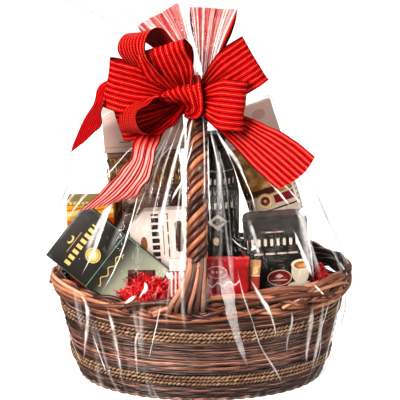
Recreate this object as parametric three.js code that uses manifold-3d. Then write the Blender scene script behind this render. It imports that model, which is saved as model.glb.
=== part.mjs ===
// Gourmet gift basket: an oval wicker basket with a twisted arch handle, filled with food packs
// on red paper shred, wrapped in clear film that is gathered over the handle and tied with a ribbon bow.
// Millimetres. X runs along the basket's length, -Y is the front, +Z is up, and z = 0 is the resting plane.
import * as THREE from "three";
import { mergeVertices } from "three/addons/utils/BufferGeometryUtils.js";
import { ConvexGeometry } from "three/addons/geometries/ConvexGeometry.js";
import Module from "manifold-3d";

const wasm = await Module();
wasm.setup();

// Driving dimensions of the basket
const OVAL_DIFFERENCE = 55; // half length less half width, at every height
const WALL_OUTLINE = [[0, 158], [8, 167], [30, 175], [93, 187], [126, 192]]; // height, half length
const WALL_TOP = 126;
const WALL_THICKNESS = 6;
const FLOOR_TOP = 7;
const SADDLE = 4; // the ends of the rim stand this much higher than its middle height
const WALL_SEGMENTS = 36;
const ROW_BULGE = 1.8;
const WEAVE_DEPTH = 1.1;
const ROPE_BANDS = { rope_band_lower: 35, rope_band_upper: 100 }; // centre height of each band
const ROPE_BAND_HEIGHT = 15;
const ROPE_RECESS = 2.5;
const FOOT_ROW_Z = 5; // the lowest row of the weave starts here
const FLOOR_ROUND = 6; // the floor meets the wall in a slope this wide

// Driving dimensions of the rim and the handle
const RIM_HALF_LENGTH = 195;
const RIM_HEIGHT = 136.3;
const RIM_RADIUS = 9.7;
const RIM_HALF_WIDTH = RIM_HALF_LENGTH - OVAL_DIFFERENCE;
const HANDLE_X = -5;
const HANDLE_FOOT_Z = 143;
const HANDLE_RISE = 219;
const HANDLE_RADIUS = 14;
const HANDLE_CANES = 5;
const HANDLE_TURNS = 6;

// Driving dimensions of the film and the ribbon
const FILM_GAP = 3; // film stands this far off what it wraps
const FILM_SHRINK = 0.993; // the inner face of the film against its outer face
const FILM_MIDDLE = new THREE.Vector3(0, 0, 180);
const NECK_Z = 384;
const NECK_RADIUS = 12;
const RUFFLE_FOOT_Z = 397;
const RUFFLE_TOP_Z = 546;
const RUFFLE_PLEATS = 9;
const RUFFLE_TURN = 18; // the sheet's corner lies this many degrees behind the left
const RIBBON_WIDTH = 63.5;
const RIBBON_THICKNESS = 1.2;
const KNOT = new THREE.Vector3(-15, -38, 386);
const CLEARANCE = 0.3; // between pieces that touch
const SOCKET_ROOM = 0.8; // round each pack that is sunk in the shred

const V = (x, y, z) => new THREE.Vector3(x, y, z);
const DEGREE = Math.PI / 180;
const UP = V(0, 0, 1);

// Solids

function solidOf(geometry) {
  const bare = geometry.index ? geometry.toNonIndexed() : geometry.clone();
  bare.deleteAttribute("normal");
  bare.deleteAttribute("uv");
  const merged = mergeVertices(bare, 1e-3);
  const made = new wasm.Manifold(new wasm.Mesh({
    numProp: 3,
    vertProperties: merged.attributes.position.array,
    triVerts: new Uint32Array(merged.index.array),
  }));
  return made;
}

function geometryOf(solid) {
  const mesh = solid.getMesh();
  const geometry = new THREE.BufferGeometry();
  geometry.setAttribute("position", new THREE.BufferAttribute(mesh.vertProperties, 3));
  geometry.setIndex(new THREE.BufferAttribute(mesh.triVerts, 1));
  geometry.computeVertexNormals();
  return geometry;
}

const union = (solids) => solids.reduce((whole, next) => whole.add(next));

function largestBody(solid) {
  return solid.decompose().reduce((best, body) => (body.volume() > best.volume() ? body : best));
}

// Skins a row of rings that have equal numbers of points. A closed row joins its last ring to its first,
// and any other row is shut with a fan at each end.
function loft(rings, closed = false) {
  const count = rings[0].length;
  const positions = rings.flat().flatMap((p) => [p.x, p.y, p.z]);
  const index = [];
  const spans = closed ? rings.length : rings.length - 1;
  for (let i = 0; i < spans; i++) {
    const here = i * count;
    const next = ((i + 1) % rings.length) * count;
    for (let j = 0; j < count; j++) {
      const k = (j + 1) % count;
      index.push(here + j, next + j, next + k, here + j, next + k, here + k);
    }
  }
  if (!closed) {
    const last = (rings.length - 1) * count;
    for (const [start, turned] of [[0, false], [last, true]]) {
      const middle = rings[start / count].reduce((sum, p) => sum.add(p), V(0, 0, 0)).divideScalar(count);
      positions.push(middle.x, middle.y, middle.z);
      const hub = positions.length / 3 - 1;
      for (let j = 0; j < count; j++) {
        const k = (j + 1) % count;
        if (turned) index.push(hub, start + k, start + j);
        else index.push(hub, start + j, start + k);
      }
    }
  }
  if (signedVolume(positions, index) < 0) {
    for (let i = 0; i < index.length; i += 3) [index[i + 1], index[i + 2]] = [index[i + 2], index[i + 1]];
  }
  const geometry = new THREE.BufferGeometry();
  geometry.setAttribute("position", new THREE.Float32BufferAttribute(positions, 3));
  geometry.setIndex(index);
  geometry.computeVertexNormals();
  return geometry;
}

function signedVolume(positions, index) {
  const point = (i) => V(positions[3 * i], positions[3 * i + 1], positions[3 * i + 2]);
  let sum = 0;
  for (let i = 0; i < index.length; i += 3) {
    sum += point(index[i]).dot(point(index[i + 1]).cross(point(index[i + 2])));
  }
  return sum / 6;
}

// A tube of even or lobed section along a list of points, with its section held level by `side`.
function tube(points, radius, sides, side) {
  const rings = points.map((p, i) => {
    const tangent = points[Math.min(i + 1, points.length - 1)].clone()
      .sub(points[Math.max(i - 1, 0)]).normalize();
    const across = side.clone().addScaledVector(tangent, -side.dot(tangent)).normalize();
    const other = tangent.clone().cross(across);
    return Array.from({ length: sides }, (_, j) => {
      const angle = (2 * Math.PI * j) / sides;
      return p.clone().addScaledVector(across, radius * Math.cos(angle))
        .addScaledVector(other, radius * Math.sin(angle));
    });
  });
  return loft(rings);
}

function smooth(points, steps) {
  return new THREE.CatmullRomCurve3(points, false, "centripetal").getPoints(steps);
}

// Basket

function halfLengthAt(z) {
  const i = Math.max(1, WALL_OUTLINE.findIndex(([height]) => height >= z));
  const [[z0, a0], [z1, a1]] = [WALL_OUTLINE[i - 1], WALL_OUTLINE[i]];
  return a0 + ((a1 - a0) * (z - z0)) / (z1 - z0);
}

const ease = (t) => THREE.MathUtils.smoothstep(t, 0, 1);

function oval(halfLength, z, angle) {
  return V(
    halfLength * Math.cos(angle),
    (halfLength - OVAL_DIFFERENCE) * Math.sin(angle),
    z + SADDLE * Math.cos(2 * angle) * (z / WALL_TOP),
  );
}

function ovalRing(halfLengthOf, z) {
  return Array.from({ length: WALL_SEGMENTS }, (_, k) => {
    const angle = (2 * Math.PI * k) / WALL_SEGMENTS;
    return oval(halfLengthOf(k), z, angle);
  });
}

function basketWall() {
  const rings = [ovalRing(() => halfLengthAt(0), 0)];
  let row = 0;
  const addRows = (low, high, count) => {
    for (let i = 0; i < count; i++, row++) {
      const z = low + ((high - low) * (i + 0.5)) / count;
      const edge = low + ((high - low) * i) / count;
      const weave = (k) => ROW_BULGE + WEAVE_DEPTH * ((k + row) % 2 ? 1 : -1);
      rings.push(ovalRing(() => halfLengthAt(edge), edge));
      rings.push(ovalRing((k) => halfLengthAt(z) + weave(k), z));
    }
    rings.push(ovalRing(() => halfLengthAt(high), high));
  };
  const recess = (height) => {
    for (const z of [height - ROPE_BAND_HEIGHT / 2, height + ROPE_BAND_HEIGHT / 2]) {
      rings.push(ovalRing(() => halfLengthAt(z) - ROPE_RECESS, z));
    }
  };
  const { rope_band_lower: lower, rope_band_upper: upper } = ROPE_BANDS;
  const half = ROPE_BAND_HEIGHT / 2 + 0.5;
  addRows(FOOT_ROW_Z, lower - half, 1);
  recess(lower);
  addRows(lower + half, upper - half, 3);
  recess(upper);
  addRows(upper + half, WALL_TOP, 1);
  const innerHeights = WALL_OUTLINE.slice(2).map(([z]) => z).reverse();
  for (const z of [...innerHeights, FLOOR_TOP + FLOOR_ROUND - 2]) {
    rings.push(ovalRing(() => halfLengthAt(z) - WALL_THICKNESS, z));
  }
  rings.push(ovalRing(() => halfLengthAt(FLOOR_TOP) - WALL_THICKNESS - FLOOR_ROUND, FLOOR_TOP));
  return loft(rings);
}

// Two twisted ropes that lie one above the other in a recess of the wall.
const ROPE_SECTION = [[0, -7.2], [4.6, -4.6], [2.4, 0], [4.6, 4.6], [0, 7.2]]; // out, up
const ROPE_TWIST = 0.7;

function ropeBand(height) {
  const rings = Array.from({ length: WALL_SEGMENTS }, (_, k) => {
    const angle = (2 * Math.PI * k) / WALL_SEGMENTS;
    const twist = k % 2 ? ROPE_TWIST : -ROPE_TWIST;
    return ROPE_SECTION.map(([out, up], j) => {
      const z = height + up;
      const stand = out > 3 ? out + (j < 2 ? twist : -twist) : out;
      return oval(halfLengthAt(z) - ROPE_RECESS + CLEARANCE + stand, z, angle);
    });
  });
  return loft(rings, true);
}

function rimRings(radius) {
  const STEPS = 48;
  const LOBES = 4;
  const TURNS = 3;
  return Array.from({ length: STEPS }, (_, k) => {
    const angle = (2 * Math.PI * k) / STEPS;
    const centre = rimCentre(angle);
    const outward = V(Math.cos(angle) / RIM_HALF_LENGTH, Math.sin(angle) / RIM_HALF_WIDTH, 0).normalize();
    return Array.from({ length: 2 * LOBES }, (_, j) => {
      const turn = (2 * Math.PI * j) / (2 * LOBES) + TURNS * angle;
      const reach = radius * (j % 2 ? 0.8 : 1);
      return centre.clone().addScaledVector(outward, reach * Math.cos(turn))
        .addScaledVector(UP, reach * Math.sin(turn));
    });
  });
}

function rimCentre(angle) {
  return V(
    RIM_HALF_LENGTH * Math.cos(angle),
    RIM_HALF_WIDTH * Math.sin(angle),
    RIM_HEIGHT + SADDLE * Math.cos(2 * angle),
  );
}

// Handle

function handlePoint(turn) {
  return V(HANDLE_X, -RIM_HALF_WIDTH * Math.cos(turn), HANDLE_FOOT_Z + HANDLE_RISE * Math.sin(turn));
}

function handleRod() {
  const STEPS = 46;
  const rings = Array.from({ length: STEPS + 1 }, (_, i) => {
    const turn = (Math.PI * i) / STEPS;
    const centre = handlePoint(turn);
    const outward = V(0, -Math.cos(turn) / RIM_HALF_WIDTH, Math.sin(turn) / HANDLE_RISE).normalize();
    return Array.from({ length: 2 * HANDLE_CANES }, (_, j) => {
      const angle = (Math.PI * j) / HANDLE_CANES - (2 * Math.PI * HANDLE_TURNS * i) / STEPS;
      const reach = HANDLE_RADIUS * (j % 2 ? 0.8 : 1);
      return centre.clone().addScaledVector(V(1, 0, 0), reach * Math.cos(angle))
        .addScaledVector(outward, reach * Math.sin(angle));
    });
  });
  return loft(rings);
}

// The canes of the handle spread over the outside of the rim, front and back.
const FOOT_CANE_RADIUS = 4.6;
const FOOT_CANES = [[-8, -32], [-3, -14], [4, 5]]; // place along X at the top and at the foot
const FOOT_PATH = [
  { spread: 0, out: 146, z: 186 }, { spread: 0.5, out: 156, z: 166 },
  { spread: 1, out: 161.5, z: 136 }, { spread: 1.1, out: 155, z: 117 },
];

function footCanes() {
  return [-1, 1].flatMap((side) => FOOT_CANES.map(([top, foot]) => {
    const path = FOOT_PATH.map(({ spread, out, z }) => (
      V(HANDLE_X + THREE.MathUtils.lerp(top, foot, spread), side * out, z)
    ));
    return solidOf(tube(smooth(path, 3), FOOT_CANE_RADIUS, 5, V(1, 0, 0)));
  }));
}

// Packs. Each is made about its own middle: x is its width, z its height, and -y its front.

function carton(width, height, depth, corner = 1.5) {
  const [w, h] = [width / 2 - corner, height / 2 - corner];
  const outline = new THREE.Shape([
    new THREE.Vector2(-w, -h), new THREE.Vector2(w, -h), new THREE.Vector2(w, h), new THREE.Vector2(-w, h),
  ]);
  return extruded(outline, depth, corner);
}

function extruded(outline, depth, corner) {
  const geometry = new THREE.ExtrudeGeometry(outline, {
    depth: depth - 2 * corner,
    bevelThickness: corner,
    bevelSize: corner,
    bevelSegments: 1,
  });
  return geometry.translate(0, 0, corner - depth / 2).rotateX(Math.PI / 2);
}

// A carton whose top left corner is cut off at a slant.
function cutCornerCarton(width, height, depth, cutAcross, cutDown, corner = 1.5) {
  const [w, h] = [width / 2 - corner, height / 2 - corner];
  const outline = new THREE.Shape([
    new THREE.Vector2(-w, -h), new THREE.Vector2(w, -h), new THREE.Vector2(w, h),
    new THREE.Vector2(-w + cutAcross, h), new THREE.Vector2(-w, h - cutDown),
  ]);
  return extruded(outline, depth, corner);
}

// A filled bag: flat sealed edges at top and bottom, and full sides between them.
// `slump` is how far its foot is pushed to the left.
function bag(width, height, depth, { sealTop, sealBottom = 8, sealDepth = 3, slump = 0 }) {
  const waist = 0.97;
  const levels = [
    [-height / 2, sealDepth, 1], [-height / 2 + sealBottom, sealDepth, 1],
    [-height / 2 + sealBottom + depth * 0.45, depth * 0.95, waist],
    [0, depth, waist],
    [height / 2 - sealTop - depth * 0.55, depth * 0.92, waist],
    [height / 2 - sealTop, sealDepth, 1], [height / 2, sealDepth, 1],
  ];
  const rings = levels.map(([z, thick, wide]) => {
    const [w, d] = [(width / 2) * wide, thick / 2];
    const side = Math.min(d, thick > sealDepth ? 8 : 1);
    const shift = -slump * (Math.min(0, z) / (height / 2)) ** 2;
    const ring = [
      V(-w, -d + side, z), V(-w + side, -d, z), V(0, -d, z), V(w - side, -d, z), V(w, -d + side, z),
      V(w, d - side / 2, z), V(w - side, d, z), V(0, d, z), V(-w + side, d, z), V(-w, d - side / 2, z),
    ];
    return ring.map((p) => p.setX(p.x + shift));
  });
  return loft(rings);
}

// A foil brick with straight sides and its folded top laid flat.
function brick(width, height, depth) {
  const levels = [
    [-height / 2, 0.94], [-height / 2 + 5, 1], [0, 1.02], [height / 2 - 6, 1], [height / 2, 0.92],
  ];
  const rings = levels.map(([z, wide]) => {
    const [w, d] = [(width / 2) * wide, (depth / 2) * wide];
    const c = 5;
    return [
      V(-w, -d + c, z), V(-w + c, -d, z), V(w - c, -d, z), V(w, -d + c, z),
      V(w, d - c, z), V(w - c, d, z), V(-w + c, d, z), V(-w, d - c, z),
    ];
  });
  return loft(rings);
}

const BOTTLE = { x: 17, y: 1, z: 34 };
const BOTTLE_RADIUS = 34.5;
const BOTTLE_HEIGHT = 284;
const BOTTLE_OUTLINE = [
  [0, 0], [32, 0], [BOTTLE_RADIUS, 3], [BOTTLE_RADIUS, 214], [33.4, 226], [29, 245], [23, 262],
  [17.5, 274], [14.5, 281], [14.5, BOTTLE_HEIGHT], [0, BOTTLE_HEIGHT],
]; // radius, height

const CAP_OUTLINE = [[0, 0], [15.5, 0], [15.5, 15], [14, 17], [0, 17]]; // radius, height
const BOTTLE_ROOM = [[0, 0], [BOTTLE_RADIUS + 1.5, 0], [BOTTLE_RADIUS + 1.5, 200], [0, 200]];

function turned(outline, place, sides = 16) {
  const profile = outline.map(([r, z]) => new THREE.Vector2(r, z));
  return new THREE.LatheGeometry(profile, sides).rotateX(Math.PI / 2).translate(place.x, place.y, place.z);
}

const SMALL_SEALS = { sealTop: 5, sealBottom: 5, sealDepth: 2 };

// Each pack's maker, its width, height and depth, and its middle. Its turns are in degrees:
// yaw about the upright, lean back from the front, and roll clockwise seen from the front.
const PACKS = {
  chocolate_box: {
    make: carton, size: [140, 85, 18], at: [-120, -72, 178], yaw: -7, lean: 14.5, roll: 36.2,
  },
  gold_box: { make: carton, size: [63, 142, 42], at: [-146, 4, 175], roll: -1.5 },
  snack_bag: { make: bag, size: [86, 165, 32], at: [-65, 9, 180], lean: 2, extra: [{ sealTop: 9 }] },
  cookie_box: {
    make: cutCornerCarton, size: [80, 160, 20], at: [-50, -45.4, 163], roll: -3.5, extra: [13, 28],
  },
  pasta_bag: { make: bag, size: [108, 180, 44], at: [-75, 58, 210], roll: -3.5, extra: [{ sealTop: 8 }] },
  pasta_bag_header: { make: carton, size: [110, 66, 8], at: [-79.2, 58, 335.2], roll: -3.5 },
  tall_bag: {
    make: bag, size: [76, 172, 36], at: [100, 50, 231], roll: -19, extra: [{ sealTop: 8, slump: 18 }],
  },
  tall_bag_header: { make: carton, size: [78, 50, 8], at: [63.6, 50, 336.9], roll: -19 },
  coffee_brick: { make: brick, size: [84, 148, 46], at: [101, -43, 161], roll: -4 },
  biscuit_pack: { make: bag, size: [59, 84, 15], at: [32, -108, 154], lean: 6, extra: [SMALL_SEALS] },
  tan_pack: { make: bag, size: [14, 46, 9], at: [68.5, -98, 166], lean: 4, roll: 3, extra: [SMALL_SEALS] },
  striped_pack: { make: carton, size: [30, 70, 11], at: [-25, -113, 160], lean: 5 },
};

function packGeometry({ make, size, extra = [] }) {
  return make(...size, ...extra);
}

function packMatrix({ at, yaw = 0, lean = 0, roll = 0 }) {
  const turn = new THREE.Euler(-lean * DEGREE, roll * DEGREE, yaw * DEGREE, "ZXY");
  return new THREE.Matrix4().compose(V(...at), new THREE.Quaternion().setFromEuler(turn), V(1, 1, 1));
}

// Red paper shred: an uneven bed that fills the basket round the packs, with loose strips fused on top.

const SHRED_LEVEL = 122;
const SHRED_STRIPS = 12;
const SHRED_HEAPS = [
  { x: -78, y: -108, reachX: 44, reachY: 20, rise: 56 },
  { x: 160, y: -18, reachX: 15, reachY: 40, rise: 40 },
  { x: 8, y: -116, reachX: 36, reachY: 14, rise: 22 },
];

function shredTop(x, y) {
  const ripple = 3 * Math.sin(x / 11) * Math.cos(y / 9);
  return SHRED_HEAPS.reduce((z, heap) => {
    const far = ((x - heap.x) / heap.reachX) ** 2 + ((y - heap.y) / heap.reachY) ** 2;
    return z + heap.rise * Math.exp(-far);
  }, SHRED_LEVEL + ripple);
}

function shredCore() {
  const inner = (z) => halfLengthAt(Math.min(z, WALL_TOP)) - WALL_THICKNESS - 2;
  const ringAt = (halfLength, heightOf) => Array.from({ length: WALL_SEGMENTS }, (_, k) => {
    const p = oval(halfLength, 0, (2 * Math.PI * k) / WALL_SEGMENTS);
    return V(p.x, p.y, heightOf(p));
  });
  const rings = [ringAt(inner(FLOOR_TOP) - 8, () => FLOOR_TOP + CLEARANCE), ringAt(inner(30), () => 30),
    ringAt(inner(93) - 1, () => 90)];
  const top = inner(118) - 1;
  for (const share of [0, 0.1, 0.24, 0.45, 0.75]) {
    rings.push(ringAt(top - share * (top - OVAL_DIFFERENCE - 6),
      (p) => (share ? shredTop(p.x, p.y) : Math.min(shredTop(p.x, p.y) - 4, 120))));
  }
  return solidOf(loft(rings));
}

// A repeatable stream of numbers from 0 to 1.
function drawFrom(seed) {
  let state = seed;
  return () => {
    state = (state * 1664525 + 1013904223) % 4294967296;
    return state / 4294967296;
  };
}

function shredStrips(count) {
  const draw = drawFrom(11);
  const strips = [];
  for (let i = 0; i < count; i++) {
    const heap = SHRED_HEAPS[i % 4 === 3 ? 1 : i % 8 === 6 ? 2 : 0];
    const x = heap.x + (draw() - 0.5) * 1.5 * heap.reachX;
    const y = heap.y + (draw() - 0.5) * 1.2 * heap.reachY;
    const heading = draw() * Math.PI;
    const [length, rise] = [26 + 16 * draw(), 3 + 9 * draw()];
    const points = Array.from({ length: 5 }, (_, k) => {
      const along = (k / 4 - 0.5) * length;
      const zigzag = (k % 2 ? 1 : -1) * 1.6;
      const px = x + along * Math.cos(heading) - zigzag * Math.sin(heading);
      const py = y + along * Math.sin(heading) + zigzag * Math.cos(heading);
      return V(px, py, shredTop(px, py) + rise * Math.sin((Math.PI * k) / 4) - 1.2);
    });
    strips.push(solidOf(tube(points, 1.7, 4, V(-Math.sin(heading), Math.cos(heading), 0.01))));
  }
  return strips;
}

// Clear film: stretched from the base over the rim, the packs and the handle to a tied neck.

const FILM_OFF_WALL = [[1, 5], [8, 6.5], [30, 8], [93, 8.5], [126, 7]]; // height, distance off the wall
const FILM_OVER_FEET = [
  { at: [-48, 14], y: 168.5, z: 139 }, { at: [-48, 14], y: 161, z: 116 }, { at: [-26, 8], y: 165, z: 168 },
]; // where the film lies on the feet of the handle, front and back

function filmContacts() {
  const points = [];
  for (const [z, spread] of FILM_OFF_WALL) {
    points.push(...ovalRing(() => halfLengthAt(z) + spread, z));
  }
  for (let k = 0; k < 36; k++) {
    const centre = rimCentre((2 * Math.PI * k) / 36);
    const reach = 1 + (RIM_RADIUS + FILM_GAP) / RIM_HALF_LENGTH;
    points.push(V(centre.x * reach, centre.y * (reach + 0.02), centre.z));
    points.push(V(centre.x * (reach - 0.02), centre.y * (reach - 0.01), centre.z + RIM_RADIUS));
  }
  for (let i = 2; i <= 34; i++) {
    const p = handlePoint((Math.PI * i) / 36);
    const away = V(0, p.y / RIM_HALF_WIDTH, (p.z - HANDLE_FOOT_Z) / HANDLE_RISE).normalize();
    for (const across of [-11, 11]) {
      points.push(p.clone().addScaledVector(away, HANDLE_RADIUS + FILM_GAP - 1).add(V(across, 0, 0)));
    }
  }
  for (const { at, y, z } of FILM_OVER_FEET) {
    for (const x of at) points.push(V(x, y, z), V(x, -y, z));
  }
  for (const spec of Object.values(PACKS)) {
    const half = spec.size.map((length) => length / 2 + FILM_GAP);
    for (let corner = 0; corner < 8; corner++) {
      const [right, back, up] = [1, 2, 4].map((bit) => (corner & bit ? 1 : -1));
      points.push(V(right * half[0], back * half[2], up * half[1]).applyMatrix4(packMatrix(spec)));
    }
  }
  const gathered = NECK_RADIUS + FILM_GAP;
  for (let k = 0; k < 10; k++) {
    const angle = (2 * Math.PI * k) / 10;
    points.push(V(gathered * Math.cos(angle), gathered * Math.sin(angle), NECK_Z));
  }
  return points;
}

const tentHull = (scale) => solidOf(new ConvexGeometry(
  filmContacts().map((p) => p.sub(FILM_MIDDLE).multiplyScalar(scale).add(FILM_MIDDLE)),
));

// Radius and height of the ruffle's edge at an angle: the sheet's corner reaches out to the left.
function ruffleEdge(angle) {
  const c = Math.cos(angle + RUFFLE_TURN * DEGREE);
  return {
    reach: 66 + 108 * Math.max(0, -c) ** 9 - 10 * Math.sin(angle),
    top: RUFFLE_TOP_Z - 21 * (1 - c) + 4 * Math.sin(3 * angle),
  };
}

function ruffleRing(t, inset) {
  const SEGMENTS = 2 * RUFFLE_PLEATS * 2;
  return Array.from({ length: SEGMENTS }, (_, k) => {
    const angle = (2 * Math.PI * k) / SEGMENTS;
    const { reach, top } = ruffleEdge(angle);
    const pleat = 0.11 * t * reach * Math.cos(RUFFLE_PLEATS * angle);
    const radius = NECK_RADIUS + 1 + (reach - NECK_RADIUS) * t ** 1.55 + pleat - inset;
    return V(radius * Math.cos(angle), radius * Math.sin(angle), RUFFLE_FOOT_Z + (top - RUFFLE_FOOT_Z) * t);
  });
}

function ruffle() {
  const shares = [0, 0.35, 0.7, 1];
  const outer = shares.map((t) => ruffleRing(t, 0));
  const inner = shares.slice(1).reverse().map((t) => ruffleRing(t, 1.3));
  return solidOf(loft([...outer, ...inner, ruffleRing(0.08, 8)]));
}

function neckPlug() {
  const outline = [
    [0, NECK_Z - 0.9], [NECK_RADIUS + 2.5, NECK_Z - 0.9], [NECK_RADIUS, NECK_Z + 5],
    [NECK_RADIUS, NECK_Z + 11], [NECK_RADIUS + 1.5, RUFFLE_FOOT_Z + 2], [0, RUFFLE_FOOT_Z + 2],
  ];
  return solidOf(turned(outline, V(0, 0, 0)));
}

function filmWrap() {
  const under = solidOf(loft([-4, 2.7].map((z) => ovalRing(() => halfLengthAt(0) + 3.3, z))));
  return union([tentHull(1).subtract(tentHull(FILM_SHRINK)), neckPlug(), ruffle()]).subtract(under);
}

// Ribbon: strips whose stations each hold a middle point and a half width vector.

function strip(stations, steps) {
  const middle = new THREE.CatmullRomCurve3(stations.map((s) => s.point), false, "centripetal");
  const widths = new THREE.CatmullRomCurve3(stations.map((s) => s.half), false, "catmullrom");
  const rings = Array.from({ length: steps + 1 }, (_, i) => {
    const t = i / steps;
    const p = middle.getPoint(t);
    const half = widths.getPoint(t);
    const normal = middle.getTangent(t).cross(half).normalize().multiplyScalar(RIBBON_THICKNESS / 2);
    const edge = (share, side) => p.clone().addScaledVector(half, share).addScaledVector(normal, side);
    return [edge(-1, -1), edge(1, -1), edge(1, 1), edge(-1, 1)];
  });
  return solidOf(loft(rings));
}

// A loop leaves the knot along `towards`, turns round at `length` and comes back. `across` is the way
// its width lies at the turn, `bulge` is how far its two sides stand apart, and `flare` is the share of
// its length where it is fully spread.
function bowLoop({ towards, length, across, bulge, from = KNOT, width = RIBBON_WIDTH, flare = 0.75 }) {
  const ahead = V(...towards).normalize();
  const wide = V(...across);
  wide.addScaledVector(ahead, -wide.dot(ahead)).normalize();
  const apart = wide.clone().cross(ahead);
  const station = (t) => {
    const out = (1 - Math.cos(2 * Math.PI * t)) / 2;
    const side = Math.sin(2 * Math.PI * t) * Math.sqrt(out) * 1.3;
    const gather = 0.16 + 0.84 * ease(Math.min(1, out / flare));
    return {
      point: from.clone().addScaledVector(ahead, length * out).addScaledVector(apart, bulge * side),
      half: wide.clone().multiplyScalar((width / 2) * gather),
    };
  };
  const run = (start, end) => Array.from({ length: 8 }, (_, i) => station(start + ((end - start) * i) / 7));
  return [strip(run(0.1, 0.52), 5), strip(run(0.5, 0.9), 4)];
}

const BOW_LOOPS = [
  { towards: [-37, -50, 77], length: 95, across: [1, -0.1, 0.14], bulge: 13 },
  { towards: [-76, -30, 96], length: 113, across: [0.5, -0.8, 0.2], bulge: 22 },
  { towards: [-104, -12, 24], length: 108, across: [0.03, -0.1, 1], bulge: 13 },
  { towards: [-78, -40, -25], length: 90, across: [0.3, -0.9, 0.1], bulge: 21 },
  { towards: [-97, 8, -27], length: 98, across: [0.2, -0.3, 0.9], bulge: 12 },
  { towards: [86, -16, 57], length: 101, across: [-0.34, 0, 0.94], bulge: 15 },
  { towards: [69, -42, -2], length: 80, across: [0.31, 0, 0.95], bulge: 15 },
  { towards: [8, -44, 8], length: 44, across: [0.7, -0.3, 0.6], bulge: 15, width: 44 },
];

const BACK_LOOPS = [
  {
    towards: [-50, 54, 86], length: 113, across: [0.92, 0.06, 0.39], bulge: 10, flare: 1,
    from: V(-8, 22, 396),
  },
  {
    towards: [9, 54, 95], length: 109, across: [0.98, -0.07, -0.17], bulge: 10, flare: 1,
    from: V(8, 22, 396),
  },
];

const KNOT_HALF_SIZE = [17, 13, 14];
const TIE = { z: NECK_Z + 8.5, radius: NECK_RADIUS + 2.4, halfThickness: 1.6, halfHeight: 4, deeper: 1.5 };
const TIE_SIDES = 20;
const TIE_LINKS = [
  { path: [KNOT, V(-3, -16, 393)], radius: 6 },
  { path: [V(-3, 17.5, 392.5), V(-8, 30, 409)], radius: 4.5 },
  { path: [V(3, 17.5, 392.5), V(7, 30, 410)], radius: 4.5 },
]; // gathered ribbon from the tie to the knot and to each back loop

function bow() {
  const knot = new THREE.SphereGeometry(1, 10, 7).scale(...KNOT_HALF_SIZE);
  const centre = solidOf(knot.translate(KNOT.x, KNOT.y, KNOT.z));
  const tieRings = Array.from({ length: TIE_SIDES }, (_, k) => {
    const angle = (2 * Math.PI * k) / TIE_SIDES;
    return [[-1, -1], [-1, 1], [1, 1], [1, -1]].map(([out, up]) => {
      const radius = TIE.radius + TIE.halfThickness * out;
      return V(
        radius * Math.cos(angle), (radius + TIE.deeper) * Math.sin(angle), TIE.z + TIE.halfHeight * up,
      );
    });
  });
  const bridges = TIE_LINKS.map(({ path, radius }) => solidOf(tube(path, radius, 6, V(1, 0, 0.1))));
  const loops = [...BOW_LOOPS, ...BACK_LOOPS].flatMap(bowLoop);
  return union([centre, solidOf(loft(tieRings, true)), ...bridges, ...loops, ...TAILS.map(tail)]);
}

// Middle points and half widths of the ribbon's three loose ends, each from the knot outwards.
const TAILS = [
  [
    [[-9, -40, 380], [5, 0, 4]], [[30, -52, 362], [20, 4, 12]], [[58, -66, 347], [25, 6, 18]],
    [[90, -84, 326], [25, 6, 18]], [[119, -96, 303], [24, 7, 19]],
  ],
  [
    [[-22, -40, 378], [5, -4, 0]], [[-50, -48, 356], [12, -12, 4]], [[-68, -60, 342], [16, -20, 4]],
    [[-80, -82, 305], [17, -25, 4]], [[-105, -90, 272], [23, -20, 2]], [[-124, -88, 254], [31, -6, 7]],
  ],
  [
    [[-22, -32, 388], [0, 2, 5]], [[-72, -4, 392], [0, 12, 10]], [[-122, -16, 398], [4, 22, 12]],
    [[-133, -26, 380], [8, 28, 8]], [[-144, -32, 352], [9, 28, 6]], [[-159, -36, 324], [9, 28, 8]],
  ],
];

function tail(stations) {
  return strip(stations.map(([point, half]) => ({ point: V(...point), half: V(...half) })), 9);
}

// Object

const group = new THREE.Group();
const FINISHES = {
  wicker: { color: 0x6b3a2a, roughness: 0.6, metalness: 0 },
  rope: { color: 0xa87b4e, roughness: 0.9, metalness: 0 },
  charcoal: { color: 0x2b2826, roughness: 0.45, metalness: 0 },
  gold: { color: 0xe9a63a, roughness: 0.35, metalness: 0.2 },
  cream: { color: 0xeadad3, roughness: 0.6, metalness: 0 },
  card: { color: 0xc9a79b, roughness: 0.7, metalness: 0 },
  snack: { color: 0x5a3524, roughness: 0.5, metalness: 0 },
  pasta: { color: 0xb98a45, roughness: 0.5, metalness: 0 },
  glass: { color: 0x1d1c18, roughness: 0.15, metalness: 0 },
  red: { color: 0xb81c28, roughness: 0.35, metalness: 0 },
  shred: { color: 0xe0101c, roughness: 0.6, metalness: 0 },
  ribbon: { color: 0xc9141f, roughness: 0.55, metalness: 0 },
  film: { color: 0xf4f6f8, roughness: 0.08, metalness: 0, transparent: true, opacity: 0.2 },
};

function add(name, geometry, finish, matrix = null) {
  const mesh = new THREE.Mesh(geometry, new THREE.MeshStandardMaterial(FINISHES[finish]));
  mesh.name = name;
  if (matrix) matrix.decompose(mesh.position, mesh.quaternion, mesh.scale);
  group.add(mesh);
}

const PACK_FINISH = {
  chocolate_box: "charcoal", gold_box: "gold", snack_bag: "snack", cookie_box: "cream", pasta_bag: "pasta",
  pasta_bag_header: "card", tall_bag: "pasta", tall_bag_header: "card", coffee_brick: "charcoal",
  biscuit_pack: "red", tan_pack: "card", striped_pack: "cream",
};

add("basket_wall", basketWall(), "wicker");
for (const [name, height] of Object.entries(ROPE_BANDS)) add(name, ropeBand(height), "rope");
add("rim_braid", loft(rimRings(RIM_RADIUS), true), "wicker");

const rimSpace = solidOf(loft(rimRings(RIM_RADIUS + CLEARANCE), true));
add("handle", geometryOf(union([solidOf(handleRod()), ...footCanes()])), "wicker");

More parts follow.
